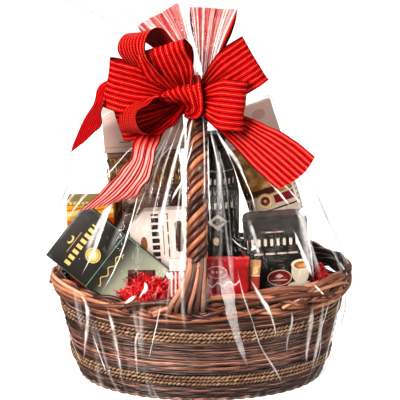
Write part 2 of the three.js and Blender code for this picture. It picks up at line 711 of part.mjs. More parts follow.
for (const [name, spec] of Object.entries(PACKS)) {
  add(name, packGeometry(spec), PACK_FINISH[name], packMatrix(spec));
}
add("oil_bottle", turned(BOTTLE_OUTLINE, BOTTLE), "glass");
const capFoot = V(BOTTLE.x, BOTTLE.y, BOTTLE.z + BOTTLE_HEIGHT + CLEARANCE);
add("bottle_cap", turned(CAP_OUTLINE, capFoot), "charcoal");

const packSpace = Object.values(PACKS).map((spec) => {
  const size = spec.size.map((length) => length + 2 * SOCKET_ROOM);
  const shape = spec.extra?.[0].slump ? packGeometry({ ...spec, size }) : carton(...size);
  return solidOf(shape.applyMatrix4(packMatrix(spec)));
});
packSpace.push(solidOf(turned(BOTTLE_ROOM, V(BOTTLE.x, BOTTLE.y, BOTTLE.z - CLEARANCE))));
const wallReach = (z) => halfLengthAt(Math.min(z, WALL_TOP)) - WALL_THICKNESS - 1;
const basketSpace = solidOf(loft([FLOOR_TOP + CLEARANCE, 30, 93, WALL_TOP, 220].map(
  (z) => ovalRing(() => wallReach(z), z),
)));
const shred = union([shredCore(), ...shredStrips(SHRED_STRIPS)])
  .intersect(basketSpace)
  .subtract(union([...packSpace, rimSpace]));
add("shred_heap", geometryOf(largestBody(shred)), "shred");

add("film_wrap", geometryOf(filmWrap()), "film");

const filmSpace = tentHull(1.004);
add("bow", geometryOf(largestBody(bow().subtract(filmSpace))), "ribbon");

export default group;
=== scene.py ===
import math
import random

import bpy
import numpy as np
from mathutils import Matrix, Vector, noise
from mathutils.bvhtree import BVHTree


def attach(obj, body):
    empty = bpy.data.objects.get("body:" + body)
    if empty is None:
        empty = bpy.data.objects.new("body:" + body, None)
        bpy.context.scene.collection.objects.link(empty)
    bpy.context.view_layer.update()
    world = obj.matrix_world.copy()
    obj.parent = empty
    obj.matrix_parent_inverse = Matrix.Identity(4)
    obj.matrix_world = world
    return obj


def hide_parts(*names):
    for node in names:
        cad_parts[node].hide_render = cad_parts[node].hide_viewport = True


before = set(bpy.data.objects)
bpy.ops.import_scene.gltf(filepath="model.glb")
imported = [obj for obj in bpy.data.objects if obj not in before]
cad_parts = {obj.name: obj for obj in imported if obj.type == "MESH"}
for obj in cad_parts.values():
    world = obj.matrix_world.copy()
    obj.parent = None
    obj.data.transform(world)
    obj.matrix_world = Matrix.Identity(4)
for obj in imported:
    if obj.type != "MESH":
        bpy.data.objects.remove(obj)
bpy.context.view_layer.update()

MM = 0.001
DEGREE = math.pi / 180
UP = np.array([0, 0, 1.0])

# Camera, as the photograph was taken
VIEW_ELEVATION = 14.5
VIEW_DISTANCE = 1700
VIEW_TARGET = (-1.34, 0, 243)
VIEW_LENS = 114.2
SENSOR_WIDTH = 36
PHOTO_SIDE = 400 # pixels each way
CLIP_FROM = 0.05
CLIP_TO = 20
FILM_LAYERS = 24 # layers of clear film that a ray may pass

# Light
BACKDROP = 1.15
ROOM_LIGHT = 0.36
ROOM_COLOUR = (1, 0.95, 0.91)
LAMP_COLOUR = (1, 0.93, 0.87)
FLOOR_GLOW = 0.95
FLOOR_SIZE = 8 # metres
CONTRAST = 0.84 # gamma of the view, which deepens the darks
# Each softbox: place and aim in millimetres, size in metres, power in watts
SOFTBOXES = [
    ((-1000, -1400, 1200), (0, 0, 150), 0.8, 50), ((1200, -900, 900), (0, 0, 200), 0.6, 11),
    ((-200, 900, 1500), (0, 0, 250), 1.0, 14),
]


def deselect():
    """Leaves object mode with nothing selected."""
    if bpy.context.object and bpy.context.object.mode != "OBJECT":
        bpy.ops.object.mode_set(mode="OBJECT")
    bpy.ops.object.select_all(action="DESELECT")


def take(obj):
    """Makes an object the only one selected, and the active one."""
    deselect()
    obj.select_set(True)
    bpy.context.view_layer.objects.active = obj
    return obj


def add_camera():
    """A camera that looks at the basket as the photograph was taken."""
    lift = VIEW_ELEVATION * DEGREE
    place = Vector(VIEW_TARGET) + VIEW_DISTANCE * Vector((0, -math.cos(lift), math.sin(lift)))
    deselect()
    bpy.ops.object.camera_add(location=place * MM, rotation=(math.pi / 2 - lift, 0, 0))
    camera = bpy.context.object
    camera.data.sensor_width = SENSOR_WIDTH
    camera.data.lens = VIEW_LENS
    camera.data.clip_start, camera.data.clip_end = CLIP_FROM, CLIP_TO
    bpy.context.scene.camera = camera


def add_softbox(place, aim, size, power):
    """A square area light, its place and aim in millimetres and its size in metres."""
    deselect()
    bpy.ops.object.light_add(type="AREA", location=Vector(place) * MM)
    lamp = bpy.context.object
    lamp.rotation_euler = (Vector(place) - Vector(aim)).to_track_quat("Z", "Y").to_euler()
    lamp.data.size = size
    lamp.data.energy = power
    lamp.data.color = LAMP_COLOUR


def add_studio():
    """A white backdrop, dimmer light all round, soft lights and a pale floor."""
    world = bpy.data.worlds.new("studio")
    bpy.context.scene.world = world
    world.use_nodes = True
    nodes, links = world.node_tree.nodes, world.node_tree.links
    seen = nodes.new("ShaderNodeLightPath")
    level = nodes.new("ShaderNodeMapRange")
    level.inputs["To Min"].default_value = ROOM_LIGHT
    level.inputs["To Max"].default_value = BACKDROP
    links.new(seen.outputs["Is Camera Ray"], level.inputs["Value"])
    links.new(level.outputs["Result"], nodes["Background"].inputs["Strength"])
    nodes["Background"].inputs["Color"].default_value = (*ROOM_COLOUR, 1)
    for softbox in SOFTBOXES:
        add_softbox(*softbox)
    deselect()
    bpy.ops.mesh.primitive_grid_add(x_subdivisions=4, y_subdivisions=4, size=FLOOR_SIZE)
    floor = bpy.context.object
    floor.name = "floor"
    fin = Finish("pale floor")
    grain = fin.noise(fin.place(), 30, 3)
    fin.surface(fin.blend(grain, "#F0F0F0", "#F8F8F8"), 0.7, Emission_Color=(1, 1, 1, 1),
                Emission_Strength=FLOOR_GLOW)
    floor.data.materials.append(fin.material)
    floor.visible_diffuse = False
    floor.visible_glossy = False
    settings = bpy.context.scene.view_settings
    settings.view_transform = "Standard"
    settings.look = "None"
    settings.gamma = CONTRAST
    bpy.context.scene.cycles.transparent_max_bounces = FILM_LAYERS


# Shapes

class Shape:
    """Points in millimetres with their faces, gathered before they become one mesh.

    Each point keeps a grain (how far along the fibre, how far round it, and a tone for the strand)
    and a depth (0 where it lies deep in the weave, 1 where it stands out), which the finishes paint as
    shade. The film's depth is how milky it is, partly painted highlight, and the ribbon's is 1 less how
    far a painted sheen pales it."""

    def __init__(self):
        self.points, self.grain, self.depth, self.faces, self.count = [], [], [], [], 0

    def add(self, points, faces, grain=(0, 0, 0), depth=1.0):
        points = np.asarray(points, float).reshape(-1, 3)
        self.points.append(points)
        self.grain.append(np.broadcast_to(np.asarray(grain, float), points.shape))
        self.depth.append(np.broadcast_to(np.asarray(depth, float), len(points)))
        if isinstance(faces, np.ndarray):
            self.faces.extend((faces + self.count).tolist())
        else:
            self.faces.extend(tuple(corner + self.count for corner in face) for face in faces)
        self.count += len(points)

    def piece(self, name):
        mesh = bpy.data.meshes.new(name)
        mesh.from_pydata(np.concatenate(self.points) * MM, [], self.faces)
        keep(mesh, "grain", np.concatenate(self.grain))
        keep(mesh, "depth", np.concatenate(self.depth))
        return as_object(mesh)


def as_object(mesh):
    made = bpy.data.objects.new(mesh.name, mesh)
    bpy.context.scene.collection.objects.link(made)
    return made


def keep(mesh, name, values):
    """Stores one vector or number for each point of a mesh, for its finish to read."""
    values = np.asarray(values, np.float32)
    flat = values.ndim == 1
    layer = mesh.attributes.new(name, "FLOAT" if flat else "FLOAT_VECTOR", "POINT")
    layer.data.foreach_set("value" if flat else "vector", values.ravel())


def unit(vectors):
    return vectors / np.maximum(np.linalg.norm(vectors, axis=-1, keepdims=True), 1e-9)


def around(count):
    """Even angles of one full turn."""
    return 2 * math.pi * np.arange(count) / count


def run_along(path):
    """How far each point lies along a path."""
    return np.concatenate([[0], np.cumsum(np.linalg.norm(np.diff(path, axis=0), axis=1))])


def ray_tree(data):
    """A mesh as a tree to cast rays at and to measure from."""
    corners = [corner.co.copy() for corner in data.vertices]
    return BVHTree.FromPolygons(corners, [tuple(face.vertices) for face in data.polygons])


def lattice(rows, columns, closed_rows=False, closed_columns=True, first=0):
    """Quads over a grid of points numbered row by row."""
    i = np.arange(rows if closed_rows else rows - 1)
    j = np.arange(columns if closed_columns else columns - 1)
    i, j = (a.ravel() for a in np.meshgrid(i, j, indexing="ij"))
    i2, j2 = (i + 1) % rows, (j + 1) % columns
    return np.stack([i * columns + j, i * columns + j2, i2 * columns + j2, i2 * columns + j], 1) + first


def sweep(shape, path, radius, sides, up, closed=False, flat=1.0, tone=0.5, depth=1.0, face=None):
    """Adds a round strand along a path. `flat` is its height against its width across `up`.

    With `face`, the way out of the weave, the strand's depth falls away round its sides, where the finish
    paints shade."""
    path = np.asarray(path, float)
    count = len(path)
    ahead = np.roll(path, -1, 0) - np.roll(path, 1, 0) if closed else np.gradient(path, axis=0)
    ahead = unit(ahead)
    across = unit(np.cross(ahead, np.broadcast_to(np.asarray(up, float), path.shape)))
    over = np.cross(across, ahead)
    turn = around(sides)
    radius = np.broadcast_to(np.asarray(radius, float), count)[:, None, None]
    spokes = across[:, None] * np.cos(turn)[:, None] + over[:, None] * (flat * np.sin(turn))[:, None]
    rings = path[:, None] + radius * spokes
    along = run_along(path)
    grain = np.stack([
        np.repeat(along, sides), np.tile(np.arange(sides) / sides, count),
        np.repeat(np.broadcast_to(np.asarray(tone, float), count), sides),
    ], 1)
    depth = np.repeat(np.broadcast_to(np.asarray(depth, float), count), sides)
    if face is not None:
        ridge = (unit(spokes) * np.broadcast_to(unit(np.asarray(face, float)), path.shape)[:, None]).sum(2)
        depth = depth * (0.15 + 0.85 * np.clip(0.1 + 1.15 * ridge, 0, 1)).ravel()
    faces = lattice(count, sides, closed_rows=closed)[:, ::-1]
    if closed:
        shape.add(rings, faces, grain, depth)
        return
    ends = [tuple(range(sides)), tuple(range(count * sides - 1, (count - 1) * sides - 1, -1))]
    shape.add(rings, [*map(tuple, faces.tolist()), *ends], grain, depth)


def loft(shape, rings, closed=False, grain=(0, 0, 0), depth=1.0):
    """Adds a skin over rings of equal numbers of points, shut at both ends unless it is closed."""
    rings = np.asarray(rings, float)
    rows, columns = rings.shape[:2]
    faces = lattice(rows, columns, closed_rows=closed).tolist()
    if not closed:
        faces += [tuple(range(columns - 1, -1, -1)), tuple(range((rows - 1) * columns, rows * columns))]
    shape.add(rings, [tuple(face) for face in faces], grain, depth)


def skin(name, rings, **options):
    """A piece that is one loft."""
    shape = Shape()
    loft(shape, rings, **options)
    return shape.piece(name)


def spline(points, count):
    """A smooth run of places through a few chosen ones."""
    points = np.asarray(points, float)
    padded = np.concatenate([[2 * points[0] - points[1]], points, [2 * points[-1] - points[-2]]])
    gaps = np.sqrt(np.linalg.norm(np.diff(padded, axis=0), axis=1))
    knots = np.concatenate([[0], np.cumsum(np.maximum(gaps, 1e-6))])
    t = np.linspace(knots[1], knots[-2], count)
    k = np.clip(np.searchsorted(knots, t, side="right") - 1, 1, len(points) - 1)

    def between(a, b, first, last):
        return (a * (last - t)[:, None] + b * (t - first)[:, None]) / (last - first)[:, None]

    p = [padded[k + i] for i in (-1, 0, 1, 2)]
    q = [knots[k + i] for i in (-1, 0, 1, 2)]
    a = [between(p[i], p[i + 1], q[i], q[i + 1]) for i in range(3)]
    b = [between(a[i], a[i + 1], q[i], q[i + 2]) for i in range(2)]
    return between(b[0], b[1], q[1], q[2])


def dress(made, fin, slot, *nodes, angle=45):
    """Gives a finished piece its material and its body, and hides the imported nodes that it stands for."""
    take(made)
    made.data.materials.clear()
    made.data.materials.append(fin.material)
    bpy.ops.object.shade_smooth_by_angle(angle=angle * DEGREE)
    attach(made, "root")
    if nodes:
        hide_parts(*nodes)
    return made


# Finishes

def tint(code):
    """The shader's linear colour for a web code. What is no code comes back as it is."""
    if not isinstance(code, str):
        return code
    parts = [int(code[i:i + 2], 16) / 255 for i in (1, 3, 5)]
    return (*[c / 12.92 if c <= 0.04045 else ((c + 0.055) / 1.055) ** 2.4 for c in parts], 1)


def operator(operation, swapped=False):
    """A Python operator on wires that adds a Math node."""
    def add_node(self, *others):
        return self.fin.math(operation, *((*others, self) if swapped else (self, *others)))
    return add_node


class Wire:
    """An output of a shader node. Sums, products and comparisons of wires add Math nodes."""

    def __init__(self, fin, socket):
        self.fin, self.socket = fin, socket

    __add__ = __radd__ = operator("ADD")
    __mul__ = __rmul__ = operator("MULTIPLY")
    __sub__, __rsub__ = operator("SUBTRACT"), operator("SUBTRACT", swapped=True)
    __truediv__, __pow__ = operator("DIVIDE"), operator("POWER")
    __lt__, __gt__ = operator("LESS_THAN"), operator("GREATER_THAN")
    __abs__ = operator("ABSOLUTE")


class Finish:
    """A material, built from nodes."""

    def __init__(self, name):
        self.material = bpy.data.materials.new(name)
        self.material.use_nodes = True
        self.tree = self.material.node_tree
        self.tree.nodes.clear()

    def node(self, kind, settings=None, sockets=None, out=0):
        """Adds a node: its settings first, then the values or wires of its sockets."""
        made = self.tree.nodes.new("ShaderNode" + kind)
        for name, value in (settings or {}).items():
            if name == "stops":
                ramp = made.color_ramp
                while len(ramp.elements) < len(value):
                    ramp.elements.new(1)
                for element, (place, colour) in zip(ramp.elements, value):
                    element.position, element.color = place, tint(colour)
            else:
                setattr(made, name, value)
        for name, value in (sockets or {}).items():
            if isinstance(value, Wire):
                self.tree.links.new(value.socket, made.inputs[name])
            else:
                made.inputs[name].default_value = value
        return Wire(self, made.outputs[out])

    def math(self, operation, *values):
        return self.node("Math", {"operation": operation}, dict(enumerate(values)))

    def place(self):
        return self.node("TexCoord", out="Object")

    def mark(self, name, out="Vector"):
        return self.node("Attribute", {"attribute_name": name}, out=out)

    def split(self, vector):
        parts = self.node("SeparateXYZ", sockets={0: vector})
        return [Wire(self, parts.socket.node.outputs[i]) for i in range(3)]

    def vector(self, x, y, z):
        return self.node("CombineXYZ", sockets={0: x, 1: y, 2: z})

    def stretch(self, vector, by):
        return self.node("VectorMath", {"operation": "MULTIPLY"}, {0: vector, 1: by})

    def noise(self, vector, scale, detail=2.0, roughness=0.5):
        return self.node("TexNoise", sockets={
            "Vector": vector, "Scale": scale, "Detail": detail, "Roughness": roughness})

    def step(self, value, low, high, to=(0.0, 1.0)):
        """Rises smoothly from one value to another between two levels."""
        return self.node("MapRange", {"interpolation_type": "SMOOTHSTEP"}, {
            0: value, 1: low, 2: high, 3: to[0], 4: to[1]})

    def ramp(self, value, *stops):
        return self.node("ValToRGB", {"stops": stops}, {0: value})

    def blend(self, mask, under, over, mode="MIX"):
        """Paints one colour over another where the mask is 1."""
        return self.node("Mix", {"data_type": "RGBA", "blend_type": mode}, {
            0: mask, 6: tint(under), 7: tint(over)}, out=2)

    def bump(self, height, depth, strength=1.0):
        """A normal from a height between 0 and 1 and a depth in millimetres."""
        return self.node("Bump", sockets={"Height": height, "Distance": depth * MM, "Strength": strength})

    def shader(self, base, roughness, normal=None, **sockets):
        values = {"Base Color": tint(base), "Roughness": roughness}
        values.update({name.replace("_", " "): value for name, value in sockets.items()})
        if normal:
            values["Normal"] = normal
        return self.node("BsdfPrincipled", sockets=values)

    def output(self, shader):
        end = self.tree.nodes.new("ShaderNodeOutputMaterial")
        self.tree.links.new(shader.socket, end.inputs["Surface"])
        return self

    def surface(self, base, roughness, normal=None, **sockets):
        return self.output(self.shader(base, roughness, normal, **sockets))


# Basket

OVAL_DIFFERENCE = 55 # half length less half width, at every height
WALL_OUTLINE = [(0, 158), (8, 167), (30, 175), (93, 187), (126, 192)] # height, half length
WALL_TOP = 126
WALL_THICKNESS = 6
FLOOR_TOP = 7
LINING_OUTSET = 4.6 # how far the lining's outer face lies within the weave's middle
SADDLE = 4 # the ends of the rim stand this much higher than its middle height
STAKES = 36
STAKE_RADIUS = 2.4
STAKE_INSET = 2.6 # how far the stakes stand within the weavers' middle
WEAVE_SWING = 0.9 # how far a weaver goes in and out round the stakes
STEPS_A_STAKE = 8
FOOT_TWISTS = 30
ROPE_BANDS = {"rope_band_lower": 35, "rope_band_upper": 100} # centre height of each band
# Rows of weavers: lowest edge, highest edge, number, and height against thickness
WEAVE_ZONES = [(3.5, 27.5, 6, 1.0), (42.5, 92.5, 12, 1.0), (107.5, 127, 4, 1.4)]
# Each weaver is two rods: how far each lies off the row's middle, and its radius, as shares of the row
WEAVE_PAIR = [(-0.2, 0.31), (0.3, 0.22)]
WEAVE_STAINS = [0.05, 0.15, 0.3, 0.45, 0.55, 0.75, 0.95] # dark to bright rods
FOOT_SHADE = 0.22 # the rows below the lower rope are this much darker

RIM_HALF_LENGTH = 195
RIM_HALF_WIDTH = RIM_HALF_LENGTH - OVAL_DIFFERENCE
RIM_HEIGHT = 136.3

HANDLE_X = -5
HANDLE_FOOT_Z = 143
HANDLE_RISE = 219
HANDLE_CANES = 6
HANDLE_CANE_RADIUS = 3.8
HANDLE_HELIX_RADIUS = 9.9
HANDLE_TURNS = 8.75
HANDLE_CORE_RADIUS = 6.5


def half_length_at(z):
    return np.interp(z, *zip(*WALL_OUTLINE))


def oval(half_length, z, angle):
    """Places on the basket's oval, which rises a little towards both ends."""
    half_length, z, angle = np.broadcast_arrays(half_length, z, angle)
    return np.stack([
        half_length * np.cos(angle), (half_length - OVAL_DIFFERENCE) * np.sin(angle),
        z + SADDLE * np.cos(2 * angle) * z / WALL_TOP], -1)


def even_angles(count):
    """Angles that part the oval into equal lengths, with the share of the way round of each."""
    fine = np.linspace(0, 2 * math.pi, 1441)
    run = run_along(oval(half_length_at(60), 0, fine))
    share = np.arange(count) / count
    return np.interp(share * run[-1], run, fine), share


def wander(draw, share, size, waves=(2, 3, 5, 9)):
    """A gentle closed ripple round the basket."""
    return sum(size * draw.uniform(-1, 1) / math.sqrt(n) * np.sin(2 * math.pi * (n * share + draw.random()))
               for n in waves)


def patch_tones(draw, share, patches):
    """One tone for each length of cane that makes up a row."""
    joins = sorted(draw.random() for _ in range(patches))
    tones = [draw.random() for _ in range(patches)]
    return np.array([tones[int(np.searchsorted(joins, s)) % patches] for s in share])


def weave_wall():
    """Rows of paired rods that swing in and out round upright stakes."""
    draw = random.Random(5)
    shape = Shape()
    angle, share = even_angles(STAKES * STEPS_A_STAKE)
    row = 0
    for low, high, rows, flat in WEAVE_ZONES:
        pitch = (high - low) / rows
        shade = FOOT_SHADE if high < min(ROPE_BANDS.values()) else 0
        for i in range(rows):
            z = low + pitch * (i + 0.5) + wander(draw, share, 0.8, (2, 3, 5, 9, 14, 22))
            swing = np.cos(math.pi * (share * STAKES + row) + wander(draw, share, 0.9, (3, 5)))
            for lift, part in WEAVE_PAIR:
                level = z + lift * pitch
                thick = part * pitch / flat * (1 + wander(draw, share, 0.35, (7, 11, 16, 23)))
                path = oval(half_length_at(level) + WEAVE_SWING * swing, level, angle)
                # The rod's tone, less the painted shade of the rows below the lower rope; its depth, which
                # the finish paints as shade, falls where it swings in behind a stake.
                stain = draw.choice(WEAVE_STAINS) + 0.35 * (patch_tones(draw, share, 9) - 0.5) - shade
                sweep(shape, path, thick, 6, UP, closed=True, flat=flat,
                      tone=stain, depth=0.9 + 0.1 * swing, face=path * (1, 1, 0))
            row += 1
    z = np.linspace(1.5, WALL_TOP + 3, 14)
    for stake in even_angles(STAKES)[0]:
        path = oval(half_length_at(z) - STAKE_INSET, z, np.full(len(z), stake))
        # The stakes lie deep, so the finish paints them in shade.
        sweep(shape, path, STAKE_RADIUS, 6, (math.cos(stake), math.sin(stake), 0),
              tone=draw.random(), depth=0.25)
    return shape.piece("wicker_weave")


def foot_border():
    """Two canes twisted round the foot of the basket."""
    draw = random.Random(8)
    shape = Shape()
    angle, share = even_angles(420)
    for strand in (0, 1):
        twist = 2 * math.pi * (FOOT_TWISTS * share + strand / 2)
        path = oval(half_length_at(4) + 0.6 + 1.5 * np.cos(twist), 4.3 + 1.5 * np.sin(twist), angle)
        # Their depth falls where each turns in behind the other, for painted shade.
        sweep(shape, path, 2.5, 8, UP, closed=True, tone=patch_tones(draw, share, 5),
              depth=0.65 + 0.35 * np.cos(twist), face=path * (1, 1, 0))
    return shape.piece("foot_border")


def basket_lining():
    """The shell behind the weave, with the basket's floor, painted nearly black as shade by its low depth."""
    count = 144
    angle, share = even_angles(count)
    outside = [(0.4, 90), (0.4, 6), (3, 5), *((z, LINING_OUTSET) for z in (8, 30, 93, WALL_TOP))]
    inside = [*((z, WALL_THICKNESS) for z in (WALL_TOP, 93, 30, FLOOR_TOP + 4))]
    floor = [(FLOOR_TOP, 12), (FLOOR_TOP, 60), (FLOOR_TOP, 95)]
    rings = [oval(half_length_at(z) - inset, z, angle) for z, inset in outside + inside + floor]
    grain = np.stack([np.tile(share * 1000, len(rings)), np.repeat(np.arange(len(rings)), count) * 0.37,
                      np.full(count * len(rings), 0.3)], 1)
    return skin("basket_lining", rings, grain=grain, depth=0.12)


ROPES_A_BAND = 3
ROPE_PITCH = 5.2
ROPE_STRAND_RADIUS = 1.85
ROPE_TWISTS = 86 # turns of each rope round the basket


def rope_band(name, height):
    """Ropes of two strands each, laid one over the other round the wall."""
    draw = random.Random(height)
    shape = Shape()
    angle, share = even_angles(ROPE_TWISTS * 7)
    for rope in range(ROPES_A_BAND):
        middle = height + (rope - 1) * ROPE_PITCH + wander(draw, share, 1.1, (5, 9, 14, 23))
        pull = wander(draw, share, 0.24, (9, 16, 27))
        for strand in (0, 1):
            tone = patch_tones(draw, share, 40)
            twist = 2 * math.pi * (ROPE_TWISTS * share + strand / 2 + 3 * pull)
            z = middle + 1.2 * np.sin(twist)
            path = oval(half_length_at(z) + 0.6 + 1.3 * np.cos(twist), z, angle)
            # Each strand's depth falls where it turns in behind the other, for painted shade.
            sweep(shape, path, ROPE_STRAND_RADIUS * (1 + pull), 6, UP, closed=True, tone=tone,
                  depth=0.55 + 0.45 * np.cos(twist), face=path * (1, 1, 0))
    return shape.piece(name)


def rim_frame(angle):
    """The middle of the rim at an angle, with the ways out and up."""
    angle = np.asarray(angle, float)
    centre = np.stack([RIM_HALF_LENGTH * np.cos(angle), RIM_HALF_WIDTH * np.sin(angle),
                       RIM_HEIGHT + SADDLE * np.cos(2 * angle)], -1)
    out = unit(np.stack([np.cos(angle) / RIM_HALF_LENGTH, np.sin(angle) / RIM_HALF_WIDTH,
                         np.zeros_like(angle)], -1))
    return centre, out


BRAID_STRANDS = 3
BRAID_REPEATS = 9 # full crossings of each strand round the rim
BRAID_WIDTH = 6.2
BRAID_HEIGHT = 3.1
BRAID_CANE_RADIUS = 2.9
BRAID_TILT = 38 # the flat of the braid faces up and out
RIM_RODS = 17
# Rods piled on the braid: how many, their lowest and highest rise over its middle, and their reach outwards
TOP_RODS = [(26, 6, 11, (-3, 6)), (22, 12, 17.5, (-3, 4))]
FRONT_LIFT = 6 # the pile is this much higher at the front and back
BARE_RIM = (184, 238) # angles where the chocolate box lies on the rim
# Canes outside the braid there: first angle, angle covered, rise, reach outwards and tone
BARE_CANES = [(178, 46, 6.5, 6.5, 1.15), (183, 58, 1.5, 8.5, 0.85), (196, 46, -4, 8.5, 0.6)]
# Cut ends that stick out: share of the way round, lean along the rim, and length
CUT_ENDS = [(0.004, 0.9, 15), (0.27, -0.7, 12), (0.52, 0.8, 13), (0.71, -0.9, 11), (0.9, 0.6, 12)]


def rim_braid():
    """Pairs of canes plaited in three strands, with the plait's flat side facing up and out."""
    draw = random.Random(12)
    shape = Shape()
    angle, share = even_angles(660)
    centre, out = rim_frame(angle)
    tilt = BRAID_TILT * DEGREE
    wide = out * math.sin(tilt) - UP * math.cos(tilt)
    thick = out * math.cos(tilt) + UP * math.sin(tilt)
    for strand in range(BRAID_STRANDS):
        phase = 2 * math.pi * (BRAID_REPEATS * share + strand / BRAID_STRANDS)
        side = (BRAID_WIDTH * np.sin(phase))[:, None]
        lift = (BRAID_HEIGHT * np.sin(2 * phase))[:, None]
        heading = np.cos(phase)[:, None]
        for pair in (-1, 1):
            spread = pair * (BRAID_CANE_RADIUS * 0.92 + 0.35 * np.sin(3 * phase + pair))[:, None]
            path = centre + wide * (side + spread * 0.85) + thick * (lift - 0.5 * pair * heading)
            path = path + UP * wander(draw, share, 0.5, (7, 13, 21))[:, None]
            # The depth, for painted shade, falls where a strand passes under the others.
            sweep(shape, path, BRAID_CANE_RADIUS * (1 + wander(draw, share, 0.14, (9, 14, 22))), 9,
                  thick, closed=True, tone=patch_tones(draw, share, 14),
                  depth=0.66 + 0.34 * np.sin(2 * phase), face=thick)
    return shape.piece("rim_braid_canes")


def pointed(steps, steepness, least):
    """Shares of a rod's radius, which falls towards both of its ends."""
    return np.clip(np.minimum(steps, 1 - steps) * steepness, least, 1)


def rod_on_rim(shape, first, span, across, rise, radius, tone, facing=0.8):
    """Adds a rod that lies along the rim, at each step a distance out from its middle and above it."""
    centre, out = rim_frame(first + np.linspace(0, 1, len(rise)) * span)
    path = centre + out * across[:, None] + UP * rise[:, None]
    # Its sides that turn away from out and up get painted shade through the depth.
    sweep(shape, path, radius, 10, out, tone=tone, depth=0.95, face=out + UP * facing)


def low_rods(shape, draw):
    """Rods along the foot of the braid, of which every third climbs over it."""
    steps = np.linspace(0, 1, 28)
    hump = np.sin(math.pi * steps)
    for k in range(RIM_RODS):
        first = 2 * math.pi * (k + draw.uniform(0.1, 0.9)) / RIM_RODS
        span = draw.uniform(0.5, 0.85)
        across, rise = 2.5 + 2.2 * hump, -8.5 - 2.5 * hump
        if k % 3 == 0:
            across, rise = 3.5 + 4.5 * np.sin(math.pi * steps ** 0.8), -9 + 15 * steps ** 1.4
        rise = rise + draw.uniform(-1, 1)
        radius = draw.uniform(2.5, 3.5) * pointed(steps, 9, 0.45)
        rod_on_rim(shape, first, span, across, rise, radius, draw.uniform(0.2, 1), 0.5)


def top_rods(shape, draw):
    """The pile of long rods on the braid, which leaves the rim bare under the chocolate box."""
    bare_from, bare_to = (value * DEGREE for value in BARE_RIM)
    room = 2 * math.pi - (bare_to - bare_from)
    steps = np.linspace(0, 1, 26)
    for count, low, high, reach in TOP_RODS:
        for k in range(count):
            span = draw.uniform(0.55, 1.05)
            first = bare_to + (room - span) * (k + draw.uniform(0, 0.6)) / (count - 0.4)
            peak = draw.uniform(low, high) + 1 + FRONT_LIFT * math.sin(first + span / 2) ** 2
            rise = -2 + (peak + 2) * np.sin(math.pi * steps) ** 0.8
            across = draw.uniform(*reach) + draw.uniform(-4, 4) * (steps - 0.5)
            rise = rise + wander(draw, steps, 0.6, (1, 2))
            rod_on_rim(shape, first, span, across, rise, draw.uniform(2.6, 4.3), draw.uniform(0.05, 1.1))


def rim_rods():
    """Long loose rods under, over and outside the braid, with a few cut ends."""
    draw = random.Random(14)
    shape = Shape()
    low_rods(shape, draw)
    top_rods(shape, draw)
    steps = np.linspace(0, 1, 26)
    for first, cover, rise, reach, tone in BARE_CANES:
        rod_on_rim(shape, first * DEGREE, cover * DEGREE, reach - 3 * steps,
                   rise * np.sin(math.pi * steps) ** 0.5, 2.9 * pointed(steps, 7, 0.4), tone)
    for place, lean, length in CUT_ENDS:
        start, outward = rim_frame(2 * math.pi * place)
        along = np.array([-outward[1], outward[0], 0])
        end = start + outward * 9 + along * length * lean - UP * 3
        path = spline([start - UP * 2, (start + end) / 2 + outward * 3, end], 8)
        sweep(shape, path, 2.6, 9, UP, tone=draw.random(), depth=0.9)
    return shape.piece("rim_rods")


# Handle

def handle_frame(turn):
    """Middle of the arch at a turn from its front foot, with its outward way."""
    still = np.zeros_like(turn)
    centre = np.stack([still + HANDLE_X, -RIM_HALF_WIDTH * np.cos(turn),
                       HANDLE_FOOT_Z + HANDLE_RISE * np.sin(turn)], -1)
    return centre, unit(np.stack([still, -np.cos(turn) / RIM_HALF_WIDTH, np.sin(turn) / HANDLE_RISE], -1))


def twisted_handle():
    """Stout canes wound round a core along the arch."""
    draw = random.Random(21)
    shape = Shape()
    centre, out = handle_frame(np.linspace(0, math.pi, 520))
    run = run_along(centre)
    share = run / run[-1]
    across = np.array([1.0, 0, 0])
    for k in range(HANDLE_CANES):
        twist = 2 * math.pi * (k / HANDLE_CANES - HANDLE_TURNS * share)
        twist = twist + wander(draw, share, 0.10, (3, 5, 8))
        reach = HANDLE_HELIX_RADIUS + wander(draw, share, 0.35, (6, 11, 17))
        spoke = across * np.cos(twist)[:, None] + out * np.sin(twist)[:, None]
        radius = HANDLE_CANE_RADIUS * (1 + wander(draw, share, 0.06, (8, 13, 19)))
        tone = draw.random() * 0.8 + 0.1
        sweep(shape, centre + spoke * reach[:, None], radius, 12, spoke, tone=tone, face=spoke)
    # The core is painted dark as shade between the canes.
    sweep(shape, centre, HANDLE_CORE_RADIUS, 10, out, tone=0.2, depth=0.1)
    return shape.piece("handle_canes")


# Canes that fan out of the handle over the rim: places along X at the top and at the foot
FOOT_CANES = [(9, 7), (6, 0), (2, -9), (-2, -17), (-6, -25), (-9, -33)]
FOOT_CANE_RADIUS = 3.15
# How far each cane has spread, its distance from the middle and its height, from the top down
FOOT_PATH = [(0, 141, 205), (0.1, 148, 190), (0.52, 154.5, 167), (0.96, 154, 149), (1.06, 147, 139),
             (1.06, 139, 133)]


def handle_feet():
    """The canes that fan out of each end of the handle and bend over the rim."""
    draw = random.Random(33)
    shape = Shape()
    for side in (-1, 1):
        for k, (top, foot) in enumerate(FOOT_CANES):
            lift = 1.2 * (k % 2)
            path = [(HANDLE_X + top + (foot - top) * spread, side * (out + lift), z)
                    for spread, out, z in FOOT_PATH]
            sweep(shape, spline(path, 36), FOOT_CANE_RADIUS * draw.uniform(0.9, 1.15), 10, (1, 0, 0),
                  tone=draw.random(), face=(0, side, 0.2))
    return shape.piece("handle_feet")


